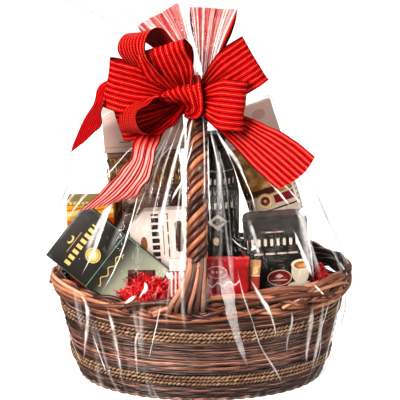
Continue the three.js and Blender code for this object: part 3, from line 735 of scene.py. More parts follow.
# Each dye: its name, its tones from dark to bright, of which the darkest also serve as painted shade, and its
# roughness from polished to rubbed
CANE_DYES = [
    ("stained willow", [
        (0.0, "#1A0F0C"), (0.22, "#4A2E25"), (0.42, "#8A6053"), (0.62, "#C58A72"), (0.86, "#F2BC9E"),
    ], (0.32, 0.55)),
    ("polished cane", [
        (0.0, "#160A07"), (0.22, "#40221A"), (0.42, "#764633"), (0.64, "#B66F4D"), (0.88, "#EBAA82"),
    ], (0.26, 0.48)),
    ("rubbed rim cane", [
        (0.0, "#1E100B"), (0.22, "#5C3426"), (0.42, "#9C6148"), (0.62, "#CC8A69"), (0.86, "#F5C6A6"),
    ], (0.28, 0.5)),
]


def cane_finish(name, stops, gloss):
    """Dyed cane: streaks along each one, and painted shade, nearly black, where it lies deep in the weave."""
    fin = Finish(name)
    along, girth, tone = fin.split(fin.mark("grain"))
    depth = fin.mark("depth", out="Fac")
    streak = fin.noise(fin.vector(along * 0.014, girth * 7, tone * 31), 1, 3)
    fibre = fin.noise(fin.vector(along * 0.09, girth * 26, tone * 17), 1, 3, 0.65)
    stain = fin.noise(fin.place(), 38, 3)
    level = tone * 0.6 + streak * 0.55 + fibre * 0.5 + stain * 0.3 - 0.55
    # Painted shade: the tone sinks with the depth, then turns nearly black deep in the weave.
    wood = fin.ramp(level * fin.step(depth, 0.1, 1.0, to=(0.45, 1.0)), *stops)
    wood = fin.blend(fin.step(depth, 0.12, 0.62), "#080403", wood)
    bump = fin.bump(fibre * 0.7 + streak * 0.6, 0.45)
    return fin.surface(wood, fin.step(fibre, 0.3, 0.8, to=gloss), bump, Coat_Weight=0.25, Coat_Roughness=0.3)


def rope_finish():
    """Dry twisted grass: painted shade in the hollows of the twist and paler where it stands out, with fine
    fibres across the twist.
    """
    fin = Finish("twisted grass rope")
    along, girth, tone = fin.split(fin.mark("grain"))
    depth = fin.mark("depth", out="Fac")
    fibre = fin.noise(fin.vector(along * 0.35, girth * 9, tone * 23), 1, 3, 0.7)
    stain = fin.noise(fin.place(), 30, 2)
    # Painted shade: the level falls with the depth.
    level = fin.step(depth, 0.15, 0.95) * 0.7 + fibre * 0.4 + tone * 0.3 + stain * 0.3 - 0.5
    grass = fin.ramp(level, (0.0, "#0E0806"), (0.22, "#4A3226"), (0.48, "#8E6C56"), (0.9, "#DCBA98"))
    return fin.surface(grass, 0.85, fin.bump(fibre, 0.5))


def add_basket():
    willow, copper, rim_cane = (cane_finish(*dye) for dye in CANE_DYES)
    dress(weave_wall(), willow, "wicker", "basket_wall")
    dress(basket_lining(), willow, "wicker")
    dress(foot_border(), willow, "wicker")
    grass = rope_finish()
    for name, height in ROPE_BANDS.items():
        dress(rope_band(name + "_ropes", height), grass, "rope", name)
    dress(rim_braid(), rim_cane, "wicker", "rim_braid")
    dress(rim_rods(), rim_cane, "wicker")
    dress(twisted_handle(), copper, "handle_cane", "handle")
    dress(handle_feet(), willow, "handle_cane")


add_camera()
add_studio()
add_basket()


# Packs: width, height and depth, the middle, and the turns in degrees. Yaw is about the upright,
# lean is back from the front, and roll is clockwise seen from the front.

PACKS = {
    "chocolate_box": {"size": (140, 85, 18), "at": (-120, -72, 178), "yaw": -7, "lean": 14.5, "roll": 36.2},
    "gold_box": {"size": (63, 142, 42), "at": (-146, 4, 175), "roll": -1.5},
    "snack_bag": {"size": (86, 165, 32), "at": (-65, 9, 180), "lean": 2},
    "cookie_box": {"size": (80, 160, 20), "at": (-50, -45.4, 163), "roll": -3.5},
    "pasta_bag": {"size": (108, 180, 44), "at": (-75, 58, 210), "roll": -3.5},
    "pasta_bag_header": {"size": (110, 66, 8), "at": (-79.2, 58, 335.2), "roll": -3.5},
    "tall_bag": {"size": (76, 172, 36), "at": (100, 50, 231), "roll": -19},
    "tall_bag_header": {"size": (78, 50, 8), "at": (63.6, 50, 336.9), "roll": -19},
    "coffee_brick": {"size": (84, 148, 46), "at": (101, -43, 161), "roll": -4},
    "biscuit_pack": {"size": (59, 84, 15), "at": (32, -108, 154), "lean": 6},
    "tan_pack": {"size": (14, 46, 9), "at": (68.5, -98, 166), "lean": 4, "roll": 3},
    "striped_pack": {"size": (30, 70, 11), "at": (-25, -113, 160), "lean": 5},
}
BOTTLE_AT = (17, 1, 34)
BOTTLE_HEIGHT = 284
BOTTLE_RADIUS = 34.5
CAP_STEPS = 96 # faces round the cap, of which every second one is a groove
BAG_COLUMNS = 96
PASTA_STRANDS = 330
BRICK_COLUMNS = 128
CRIMP_PITCH = 1.35
SEAL_HAZE = 0.3 # how milky the seals of a clear bag are
SMALL_SEALS = {"seal": 5, "foot_seal": 5, "seal_depth": 1.2}


def pack_place(at, yaw=0, lean=0, roll=0, **other):
    turn = (Matrix.Rotation(yaw * DEGREE, 4, "Z") @ Matrix.Rotation(-lean * DEGREE, 4, "X")
            @ Matrix.Rotation(roll * DEGREE, 4, "Y"))
    return Matrix.Translation(Vector(at) * MM) @ turn


def set_down(made, place, fin, slot, *nodes, angle=45):
    """Keeps a pack's own coordinates for its print, then puts it in its place in the basket."""
    keep(made.data, "panel", own_points(made) / MM)
    made.data.transform(place)
    return dress(made, fin, slot, *nodes, angle=angle)


def own_points(made):
    points = np.empty(len(made.data.vertices) * 3, np.float32)
    made.data.vertices.foreach_get("co", points)
    return points.reshape(-1, 3)


def set_points(made, points):
    made.data.vertices.foreach_set("co", np.asarray(points, np.float32).ravel())
    made.data.update()


def block(name, width, height, depth):
    """A cube primitive at its size, which the next steps shape."""
    deselect()
    bpy.ops.mesh.primitive_cube_add(size=1)
    made = bpy.context.object
    made.name = name
    made.scale = Vector((width, depth, height)) * MM
    bpy.ops.object.transform_apply(scale=True)
    return made


def edit(made, rule=None, kind="FACE"):
    """Enters edit mode with the faces or edges that the rule picks, or with all of them."""
    take(made)
    bpy.ops.object.mode_set(mode="EDIT")
    bpy.ops.mesh.select_mode(type=kind)
    bpy.ops.mesh.select_all(action="SELECT" if rule is None else "DESELECT")
    if rule is None:
        return
    bpy.ops.object.mode_set(mode="OBJECT")
    for part in made.data.polygons if kind == "FACE" else made.data.edges:
        part.select = rule(part)
    bpy.ops.object.mode_set(mode="EDIT")


def leave():
    bpy.ops.object.mode_set(mode="OBJECT")


def carton(name, width, height, depth, corner=1.1, bulge=0.7, cut=None):
    """A filled carton: soft edges, faces that swell a little, and a tucked flap at the top."""
    made = block(name, width, height, depth)
    if cut:
        across, down = cut
        middle = Vector((-width / 2 + across / 2, 0, height / 2 - down / 2)) * MM
        edit(made)
        bpy.ops.mesh.bisect(plane_co=middle, plane_no=(-down, 0, across), use_fill=True, clear_outer=True)
    edit(made, kind="EDGE")
    bpy.ops.mesh.bevel(offset=corner * MM, segments=3)
    edit(made, lambda face: face.normal.z > 0.9 and len(face.vertices) == 4 and face.area > 40 * MM ** 2)
    bpy.ops.mesh.inset(thickness=1.6 * MM)
    bpy.ops.transform.translate(value=(0, 0, -0.5 * MM))
    edit(made, lambda face: abs(face.normal.y) > 0.9 and face.area > 400 * MM ** 2)
    bpy.ops.mesh.inset(thickness=2.5 * MM)
    bpy.ops.mesh.subdivide(number_cuts=7)
    leave()
    points = own_points(made) / MM
    x, y, z = points.T
    flat = np.abs(y) > depth / 2 - 0.1
    swell = np.clip(1 - (2 * x / width) ** 2, 0, 1) * np.clip(1 - (2 * z / height) ** 2, 0, 1)
    points[:, 1] += np.where(flat, np.sign(y) * bulge * np.sqrt(swell), 0)
    set_points(made, points * MM)
    return made


def superellipse(half_width, half_depth, power, count):
    """A section whose corners are the sharper, the higher the power."""
    c, s = np.cos(around(count)), np.sin(around(count))
    x = half_width * np.sign(c) * np.abs(c) ** (2 / power)
    y = half_depth * np.sign(s) * np.abs(s) ** (2 / power)
    return x, y


def ripple(x, y, z, scale, seed):
    """Smooth noise from -1 to 1 at each point."""
    return np.array([noise.noise(Vector((a / scale + seed, b / scale, c / scale)))
                     for a, b, c in zip(x, y, z)])


def crumple(x, y, z, scale, seed):
    """Sharp creases with flat fields between them, from 0 to 1."""
    return 1 - np.abs(ripple(x, y, z, scale, seed)) * 2


def bag(name, width, height, depth, seal=8, foot_seal=8, seal_depth=2.4, slump=0, seed=1,
        shrink=0.0, creases=1.0):
    """A filled film bag: crimped seals at top and bottom, a swelling body and pulled creases."""
    low, high = -height / 2 + foot_seal, height / 2 - seal
    heights = np.concatenate([
        np.linspace(-height / 2, low, 18, endpoint=False), np.linspace(low, high, 46, endpoint=False),
        np.linspace(high, height / 2, 18)])
    rings = []
    for z in heights:
        room = min(z - low, high - z)
        rise = np.clip(room / (0.5 * depth), 0, 1)
        thick = seal_depth + (depth - seal_depth) * math.sin(rise * math.pi / 2) ** 0.75
        power = 8 if room <= 0 else 8 - 4.6 * min(1, room / 12)
        wide = width / 2 * (1 if room <= 0 else 1 - 0.03 * min(1, room / 14))
        half_depth = thick / 2 - min(shrink, thick / 2 - 0.3)
        x, y = superellipse(wide - shrink, half_depth, power, BAG_COLUMNS)
        z_of = np.full(BAG_COLUMNS, float(z))
        if room <= 0:
            y = y + 0.22 * math.cos(2 * math.pi * z / CRIMP_PITCH)
            if z in (heights[0], heights[-1]):
                z_of += 0.55 * (-1) ** np.arange(BAG_COLUMNS)
        else:
            pull = math.exp(-room / 15)
            pleat = np.cos(x / 2.3 + 2.5 * ripple(x, y * 0, z_of, 30, seed)) * pull * 1.1
            sag = ripple(x, y, z_of, 26, seed + 5) * 1.5 + (crumple(x, y, z_of, 21, seed + 9) - 0.7) * 1.3
            y = y + np.sign(y) * (pleat + sag * (1 - pull)) * creases * min(1, thick / 12)
        shift = -slump * (min(0, z) / (height / 2)) ** 2
        rings.append(np.stack([x + shift, y, z_of], 1))
    return skin(name, rings)


def folded_top(name, width, height, depth):
    """The flap of foil that lies folded on top of a brick."""
    flap = block(name, width * 0.93, 2.2, depth * 0.5)
    edit(flap, kind="EDGE")
    bpy.ops.mesh.bevel(offset=0.7 * MM, segments=2)
    bpy.ops.mesh.select_all(action="SELECT")
    bpy.ops.mesh.subdivide(number_cuts=2)
    leave()
    points = own_points(flap) / MM
    points[:, 2] += height / 2 + 0.6 + 0.5 * ripple(*points.T, 16, 4)
    points[:, 1] -= depth * 0.12
    set_points(flap, points * MM)
    return flap


def foil_brick(name, width, height, depth):
    """A hard foil brick: straight sides with sharp pulled creases and its top folded down flat."""
    low, high = -height / 2, height / 2
    outline = [(low, 0.92), (low + 5, 1), (0, 1.01), (high - 6, 1), (high - 1.5, 0.965), (high, 0.9)]
    heights = np.concatenate([
        np.linspace(low, low + 6, 6, endpoint=False), np.linspace(low + 6, high - 6, 60, endpoint=False),
        np.linspace(high - 6, high, 8)])
    rings = []
    for z in heights:
        wide = float(np.interp(z, *zip(*outline)))
        x, y = superellipse(width / 2 * wide, depth / 2 * wide, 9, BRICK_COLUMNS)
        z_of = np.full(BRICK_COLUMNS, float(z))
        edge = 0.35 + 0.65 * np.clip(1 - min(high - z, z + high) / 45, 0, 1)
        dent = (crumple(x, y * 0.6, z_of, 24, 3) ** 3 * 1.1 + ripple(x, y, z_of, 9, 8) * 0.45) * edge
        scale = 1 + (dent - 0.5) / np.hypot(x, y)
        rings.append(np.stack([x * scale, y * scale, z_of], 1))
    body = skin(name, rings)
    flap = folded_top(name + "_flap", width, height, depth)
    take(body)
    flap.select_set(True)
    bpy.ops.object.join()
    return body


def header_card(name, width, height, depth, skirt):
    """A card folded over the top of a bag: open at its foot and sides, with a round fold.

    The skirt is how much further its lower edge comes down, over the bag."""
    made = block(name, width, height, depth)

    def along_top(edge):
        first, last = (made.data.vertices[i].co for i in edge.vertices)
        return first.z > 0 and last.z > 0 and abs(first.x - last.x) > MM

    edit(made, along_top, "EDGE")
    bpy.ops.mesh.bevel(offset=depth * 0.42 * MM, segments=5)
    edit(made, lambda face: face.normal.z < -0.9)
    bpy.ops.mesh.delete(type="FACE")
    edit(made, lambda face: abs(face.normal.x) > 0.9)
    bpy.ops.mesh.delete(type="FACE")
    edit(made)
    bpy.ops.mesh.subdivide(number_cuts=5)
    leave()
    points = own_points(made) / MM
    x, y, z = points.T
    points[:, 1] += np.sign(y) * (0.5 - 1.6 * np.clip(-z / height, 0, 1)) + 0.5 * ripple(x, y * 0, z, 34, 6)
    points[:, 2] -= skirt * np.clip(-2 * z / height, 0, 1) ** 4
    set_points(made, points * MM)
    wall = made.modifiers.new("card", "SOLIDIFY")
    wall.thickness, wall.offset = 0.6 * MM, 0
    bpy.ops.object.modifier_apply(modifier=wall.name)
    return made


def turned(name, profile, steps):
    """A round piece: an outline of radius and height spun about the upright."""
    mesh = bpy.data.meshes.new(name)
    lines = [(i, i + 1) for i in range(len(profile) - 1)]
    mesh.from_pydata([(r * MM, 0, z * MM) for r, z in profile], lines, [])
    made = as_object(mesh)
    edit(made, kind="EDGE")
    bpy.ops.mesh.spin(steps=steps, angle=2 * math.pi, center=(0, 0, 0), axis=(0, 0, 1))
    bpy.ops.mesh.select_all(action="SELECT")
    bpy.ops.mesh.remove_doubles(threshold=1e-6)
    bpy.ops.mesh.normals_make_consistent(inside=False)
    leave()
    return made


def oil_bottle():
    """A bottle with sloping shoulders and a hollow under its foot."""
    foot = [(0, 2.5), (26, 2.5), (29, 0), (31.5, 0.2), (33.8, 1.6), (BOTTLE_RADIUS, 4)]
    wall = [(BOTTLE_RADIUS, z) for z in (60, 130, 190)]
    shoulder = spline([
        (BOTTLE_RADIUS, 212), (33.4, 226), (29, 245), (23, 262), (17.5, 274), (15.2, 279)], 22)
    lip = [(16.6, 280), (16.6, 282), (15, 283), (13.5, BOTTLE_HEIGHT), (0, BOTTLE_HEIGHT)]
    return turned("oil_bottle_glass", [*foot, *wall, *map(tuple, shoulder), *lip], 72)


def bottle_cap():
    """A screw cap with a knurled skirt and a tamper ring."""
    outline = [(0, 0), (14.6, 0), (15.3, 0.6), (15.3, 3.2), (14.7, 3.5), (14.7, 4.0), (15.4, 4.4),
               (15.4, 13.8), (14.8, 15.8), (13.4, 16.9), (0, 17)]
    made = turned("bottle_cap_cap", outline, CAP_STEPS)

    def groove(face):
        middle = sum((made.data.vertices[i].co for i in face.vertices), Vector()) / len(face.vertices)
        turn = math.atan2(middle.y, middle.x) / (2 * math.pi)
        on_skirt = abs(face.normal.z) < 0.1 and 4.5 * MM < middle.z < 13 * MM
        return on_skirt and round(turn * CAP_STEPS - 0.5) % 2 == 0

    edit(made, groove)
    bpy.ops.mesh.extrude_faces_move(TRANSFORM_OT_shrink_fatten={"value": 0.001 * MM})
    bpy.ops.transform.resize(value=(0.965, 0.965, 1), center_override=(0, 0, 0))
    leave()
    return made


# Print: masks in a pack's own millimetres, on its front unless they say otherwise

class Print(Finish):
    """A printed finish. `x` and `z` run across and up the pack, and `front` is 1 on its front face.

    The print reaches back round the pack's sides by `front_reach` millimetres."""

    def __init__(self, name, depth, base, front_reach=2.0):
        super().__init__(name)
        self.x, y, self.z = self.split(self.mark("panel"))
        self.front = y < (-depth / 2 + front_reach)
        self.base = tint(base)

    def rect(self, x0, x1, z0, z1):
        return (self.x > x0) * (self.x < x1) * (self.z > z0) * (self.z < z1)

    def oval(self, x, z, half_width, half_height):
        return ((self.x - x) / half_width) ** 2 + ((self.z - z) / half_height) ** 2 < 1

    def ring(self, x, z, half_width, half_height, line):
        inner = self.oval(x, z, half_width - line, half_height - line)
        return self.oval(x, z, half_width, half_height) * (1 - inner)

    def blocks(self, run, side, start, end, low, high, pitch, fill=0.72):
        """A row of plain even blocks along `run`."""
        within = self.math("FRACT", run / pitch) < fill
        return within * (run > start) * (run < end) * (side > low) * (side < high)

    def dots(self, start, end, z, pitch, radius):
        """A row of round dots across the pack."""
        across = (self.math("FRACT", (self.x - start) / pitch) - 0.5) * pitch
        return (across ** 2 + (self.z - z) ** 2 < radius ** 2) * (self.x > start) * (self.x < end)

    def paint(self, mask, colour, everywhere=False):
        mask = mask if everywhere else mask * self.front
        self.base = self.blend(mask, self.base, colour)

    def card(self, gloss):
        """Printed board: fine fibre under the ink."""
        fibre = self.noise(self.mark("panel"), 1.6, 3)
        cloud = self.noise(self.mark("panel"), 0.05, 2)
        base = self.blend(self.step(cloud, 0.3, 0.8, to=(0.0, 0.14)), self.base, "#FFFFFF", "OVERLAY")
        rough = self.step(fibre, 0.2, 0.8, to=(gloss - 0.06, gloss + 0.08))
        return self.surface(base, rough, self.bump(fibre, 0.06),
                            Specular_IOR_Level=0.25, Coat_Weight=0.12, Coat_Roughness=0.25)

    def foil(self, gloss, wrinkle):
        """Printed film: glossy, with small creases."""
        crease = self.noise(self.mark("panel"), 0.16, 3, 0.6)
        fine = self.noise(self.mark("panel"), 0.7, 2)
        return self.surface(self.base, self.step(fine, 0.2, 0.8, to=(gloss, gloss + 0.14)),
                            self.bump(crease * 0.8 + fine * 0.2, wrinkle * 2), Specular_IOR_Level=0.3,
                            Coat_Weight=0.25, Coat_Roughness=0.12)


def chocolate_print():
    fin = Print("charcoal and sage card", 18, "#241F1B")
    x, z = fin.x, fin.z
    sheen = fin.noise(fin.mark("panel"), 0.03, 2)
    fin.paint(sheen > 0.62, "#33302D")
    fin.base = fin.blend(fin.step(x, 3, 30) * fin.front, fin.base, fin.ramp(
        fin.step(x + z * -0.35, 0, 82), (0, "#7F8474"), (0.5, "#A9AE9B"), (1, "#C9D2C0")))
    fin.paint(fin.blocks(z, x, -37, 28, -45.5, -37, 8.6, 0.6), "#D8BC74")
    fin.paint(fin.rect(-51, -50.2, -22, 10), "#C9A869")
    fin.paint(fin.oval(-56, -6, 3.4, 6) * (1 - fin.oval(-57.5, -6, 2.6, 4)), "#E0C17A")
    fin.paint(fin.oval(-20.3, -4, 10.2, 10.2), "#DDBD72")
    fin.paint(fin.ring(-20.3, -4, 8.6, 8.6, 0.8), "#8C7238")
    fin.paint(fin.oval(-20.3, -4, 4.2, 4.2), "#F0DCA2")
    curl = fin.math("SINE", z / 2.6) * 2.6
    fin.paint((abs(x - 8 - curl) < 0.75) * (z > -31) * (z < 22), "#D9BA6E")
    lie = 38 * DEGREE
    across, up = x * math.cos(lie) + z * math.sin(lie), z * math.cos(lie) - x * math.sin(lie)
    slab = (across > 27) * (across < 63) * (up > -36) * (up < -9)
    groove = fin.math("FRACT", across / 12) < 0.13
    fin.paint(slab, fin.blend(up > -14, "#2E1A12", "#5B3927"))
    fin.paint(slab * groove, "#1A0E09")
    edge = fin.math("MAXIMUM", abs(x) - 69.3, abs(z) - 41.8) > 0
    fin.paint(edge, "#6FA98B")
    fin.paint(fin.rect(-3.9, -3.2, -42, 42), "#7DB897")
    return fin.card(0.3)


def gold_print():
    fin = Print("gold and orange card", 42, "#B5341B", 60)
    wave = fin.math("SINE", fin.x / 6) * 1.6
    z = fin.z + wave
    fin.base = fin.ramp(fin.step(fin.z, -70, 48), (0, "#7E1E13"), (0.6, "#B5341B"), (1, "#DB5A22"))
    fin.paint(z > 46, "#E9A63A")
    fin.paint((z > 52) * (z < 58), "#F6D488")
    fin.paint((z > 59.5) * (z < 60.8), "#C8541E")
    fin.paint(fin.z > 65, "#8E7A38")
    fin.paint(fin.blocks(fin.x, fin.z, -28, 6, 66.2, 70, 5.4), "#D8C27C")
    fin.paint(fin.oval(-10, 36, 9, 6), "#F0B44C")
    fin.paint(fin.oval(14, 30, 12, 8), "#E37B2A")
    return fin.card(0.3)


def cookie_print():
    fin = Print("pinkish white card", 20, "#F2E4DD")
    x, z = fin.x, fin.z
    fin.paint(fin.blocks(z, x, 8, 76, -11, -1.5, 9.2, 0.66), "#2E2A29")
    fin.paint(fin.blocks(z, x, -62, 2, -11, -4, 9.2, 0.66), "#57504D")
    fin.paint(fin.blocks(z, x, 9, 77, 9.4, 11, 17, 0.8), "#4A4341")
    fin.paint(fin.rect(3.4, 4.4, 20, 62), "#6B6360")
    fin.paint(fin.oval(-22, 36, 4.4, 10), "#A56E4C")
    fin.paint(fin.oval(-22, 36, 4.4, 10) * (fin.math("FRACT", z / 3.6) < 0.25), "#6E432B")
    window = fin.oval(24.5, 60, 5.3, 5) + fin.oval(24.5, 28, 5.3, 5) + fin.rect(19.2, 29.8, 28, 60) > 0
    crumbs = fin.noise(fin.mark("panel"), 0.42, 3)
    fin.paint(window, fin.ramp(crumbs, (0.3, "#1E120E"), (0.55, "#4A2C20"), (0.75, "#8A5A40")))
    return fin.card(0.5)


def header_print(name, depth, low):
    """A plain card header with a thin frame line, a short bar and a paler oval."""
    fin = Print(name, depth, "#E8CDC2", 60)
    fin.paint(fin.rect(-34, -18, low + 9.6, low + 10.8), "#8A746C")
    fin.paint((fin.z > low + 3.2) * (fin.z < low + 3.9), "#A98577", everywhere=True)
    fin.paint(fin.oval(18, low + 34, 9, 7), "#D3AEA2")
    return fin.card(0.55)


def tall_bag_print():
    fin = Print("golden brown printed film", 36, "#DCCDBD", 60)
    x, z = fin.x, fin.z
    toast = fin.noise(fin.mark("panel"), 0.075, 4, 0.6)
    fin.base = fin.blend(z > 12, fin.base, fin.ramp(
        toast, (0.25, "#5B3A24"), (0.45, "#A0733F"), (0.62, "#CFA468"), (0.8, "#E7CFA4")))
    fin.paint((z > 14) * (z < 23) * (x > -38) * (x < 6), "#5E3428")
    fin.paint((z > -1.5) * (z < 10), "#8B1A22")
    fin.paint((x > -30) * (x < 2) * (z > -6) * (z < 13), "#D9C7B2")
    fin.paint((z > -9.4) * (z < -7.4), "#2A211E")
    fin.paint(z < -30, "#5A2A22")
    turn = fin.math("ARCTAN2", z - 5.2, x + 11)
    reach = fin.math("SQRT", (x + 11) ** 2 + (z - 5.2) ** 2)
    scallop = reach - 0.7 * fin.math("COSINE", turn * 18)
    fin.paint(scallop < 11, "#E3BE78")
    fin.paint((scallop < 9.6) * (scallop > 7.4), "#F1DDB2")
    fin.paint(reach < 6.2, "#86202A")
    fin.paint(reach < 2.2, "#E3BE78")
    fin.paint(x > 30, "#EEE8E4")
    fin.paint((x > 32.5) * (x < 35.5) * (fin.math("FRACT", z / 7) < 0.3), "#D9A0A0")
    return fin.foil(0.22, 0.5)


def coffee_print():
    fin = Print("black foil", 46, "#191312", 8)
    x, z = fin.x, fin.z
    fin.paint(fin.rect(-42, -12, 44, 74), "#2D2522")
    fin.paint(fin.rect(-24, 42, -74, -22), "#2A2624")
    fin.paint(fin.rect(-12.9, 9.1, 55.6, 57.4), "#D9CDB8")
    fin.paint(fin.rect(-5.5, 1.8, 55.6, 57.4), "#B8303A")
    fin.paint(fin.blocks(x, z, -38, 33, 38, 47.5, 8.2, 0.46), "#E9DFCC")
    fin.paint(fin.blocks(x, z, -31, 29, 26, 28.6, 15, 0.8), "#CFC4B0")
    fin.paint(fin.oval(28, -18, 17, 6), "#CFC7B6")
    fin.paint(fin.oval(29, 1, 12, 17) * (z < 11), "#DDD5C3")
    fin.paint(fin.oval(29, 10.5, 12, 7.2), "#EDE6D6")
    fin.paint(fin.oval(30, 9.5, 9, 5), "#A9651F")
    fin.paint(fin.oval(31, 9, 5.5, 2.8), "#D99A45")
    fin.paint(fin.oval(1.3, -6.1, 16, 11), "#E2D2BC")
    fin.paint(fin.oval(1.3, -6.1, 14.8, 9.8), "#8A2026")
    fin.paint(abs(x - 1.3) / 5.5 + abs(z + 3.6) / 3.2 < 1, "#E2C9B4")
    fin.paint(fin.rect(-8, 11, -10, -8.6), "#E2C9B4")
    return fin.foil(0.32, 0.55)


def biscuit_print():
    fin = Print("red film", 15, "#B3141F", 60)
    x, z = fin.x, fin.z
    sheen = fin.noise(fin.mark("panel"), 0.06, 2)
    fin.base = fin.blend(fin.step(sheen, 0.4, 0.8), "#A8121D", "#CE2630")
    fin.paint(fin.ring(-12, 23, 13, 8, 0.9), "#F0DCDC")
    fin.paint(fin.dots(-19.5, -4.5, 23, 5, 1.6), "#EBD3D3")
    swing = fin.math("SINE", x / 2.3) * 2.4
    fin.paint((abs(z - 8 - x * 0.1 - swing) < 1.3) * (x > -27) * (x < 17), "#F2E2E2")
    fin.paint(z < -20, "#7E0F17")
    fin.paint(abs(z) > 38, "#D9454C", everywhere=True)
    return fin.foil(0.16, 0.6)


def tan_print():
    fin = Print("tan film", 9, "#C99A6E", 60)
    fin.paint(fin.z < 2, "#B24A3C")
    fin.paint((fin.z > 3) * (fin.z < 4.2), "#F0E2C8")
    fin.paint(fin.oval(0, 10, 3.6, 5), "#E9C98F")
    return fin.foil(0.2, 0.6)


def striped_print():
    fin = Print("white card with red stripes", 11, "#EDE7E3", 60)
    fin.paint((fin.math("FRACT", (fin.x + 1) / 5) < 0.5) * (fin.z < 19), "#C2222C")
    fin.paint((fin.z > 19) * (fin.z < 20), "#8A1A20")
    return fin.card(0.4)


def bottle_print():
    """Nearly black glass with pale screen-printed marks on its front."""
    fin = Print("dark glass", 69, "#12120E", 30)
    x, z = fin.x, fin.z
    pale = "#CFC9BF"
    wide = 26
    fin.paint(fin.rect(-6, wide, 253, 254.6), "#8F8A82")
    fin.paint(fin.blocks(x, z, -8, wide, 237, 244, 6.2, 0.42), pale)
    fin.paint(fin.blocks(x, z, -8, 20, 223, 229, 6.2, 0.4), "#8F8A82")
    fin.paint(fin.blocks(x, z, -8, wide, 205, 213, 7.4, 0.42), pale)
    badge = abs(x - 5) / 14 + abs(z - 187) / 11
    fin.paint(badge < 1, "#A9A399")
    fin.paint(badge < 0.55, "#1B1712")
    fin.paint(fin.oval(3, 161, 4, 5.5), "#B9A78A")
    fin.paint(fin.rect(-24, 24, 40, 42), "#8F8A82")
    smear = fin.noise(fin.mark("panel"), 0.05, 2)
    return fin.surface(fin.base, fin.step(smear, 0.3, 0.8, to=(0.08, 0.2)), Coat_Weight=0.3,
                       Coat_Roughness=0.06, Specular_IOR_Level=0.4)


def cap_finish():
    fin = Finish("black screw cap")
    grain = fin.noise(fin.place(), 900, 2)
    return fin.surface(fin.blend(grain, "#141312", "#201E1C"), fin.step(grain, 0.2, 0.8, to=(0.34, 0.48)))


def clear_film(fin, haze, milk, roughness, normal, gain=1.0, glow=0.0):
    """Thin clear film: what lies behind shows through, with gloss, and milky where `haze` is 1; the milky
    part can be given a painted glow.
    """
    clear = fin.node("BsdfTransparent")
    shine = fin.node("BsdfAnisotropic", sockets={
        "Color": (1, 1, 1, 1), "Roughness": roughness, "Normal": normal})
    slant = fin.node("LayerWeight", sockets={"Blend": 0.5, "Normal": normal}, out="Facing")
    glossy = fin.node("MixShader", sockets={0: (0.006 + 0.35 * slant ** 5) * gain, 1: clear, 2: shine})
    # The milky part is given a painted glow.
    milky = fin.shader(milk, 0.35, normal, Emission_Color=(1, 0.96, 0.94, 1), Emission_Strength=glow)
    return fin.output(fin.node("MixShader", sockets={0: haze, 1: glossy, 2: milky}))


def bag_film(name, milk, seal_from, base_haze=0.05):
    """The clear skin of a bag: milky at its crimped seals and along its creases."""
    fin = Finish(name)
    z = fin.split(fin.mark("panel"))[2]
    seal = abs(z) > seal_from
    crease = fin.noise(fin.stretch(fin.mark("panel"), (0.16, 0.16, 0.05)), 1, 3, 0.6)
    haze = fin.step(crease, 0.58, 0.78, to=(base_haze, base_haze + 0.3)) + seal * (SEAL_HAZE - base_haze)
    return clear_film(fin, haze, milk, 0.1, fin.bump(crease, 1.2))


def pasta_strands(width, height, depth):
    """Thin dry pasta that stands and leans in its bag."""
    draw = random.Random(41)
    shape = Shape()
    steps = np.linspace(-1, 1, 7)
    bend = np.cos(np.linspace(-1.6, 1.6, 7))
    for k in range(PASTA_STRANDS):
        face = -1 if k % 3 else 1
        lean = draw.gauss(0, 0.35)
        length = draw.uniform(55, 120)
        x = draw.uniform(-0.43, 0.43) * width
        z = draw.uniform(-0.36, 0.36) * height
        y = face * draw.uniform(depth * 0.27, depth * 0.39)
        reach = 0.5 * length * steps
        across = x + reach * math.sin(lean) + draw.uniform(-6, 6) * bend
        up = np.clip(z + reach * math.cos(lean), -0.44 * height, 0.44 * height)
        ends = np.clip((height / 2 - 8 - np.abs(up)) / (0.5 * depth), 0.12, 1) ** 0.7
        path = np.stack([np.clip(across, -0.455 * width, 0.455 * width), y * ends, up], 1)
        sweep(shape, path, draw.uniform(0.75, 1.05), 5, (0, 1, 0), tone=draw.random())
    return shape.piece("pasta_strands")


def pasta_finish(name):
    fin = Finish(name)
    tone = fin.split(fin.mark("grain"))[2]
    flour = fin.noise(fin.place(), 260, 3)
    gold = fin.ramp(tone * 0.75 + flour * 0.3,
                    (0.1, "#5A3814"), (0.45, "#9A6E2C"), (0.75, "#CFA050"), (1, "#F0CE88"))
    return fin.surface(gold, 0.5, fin.bump(flour, 0.2))


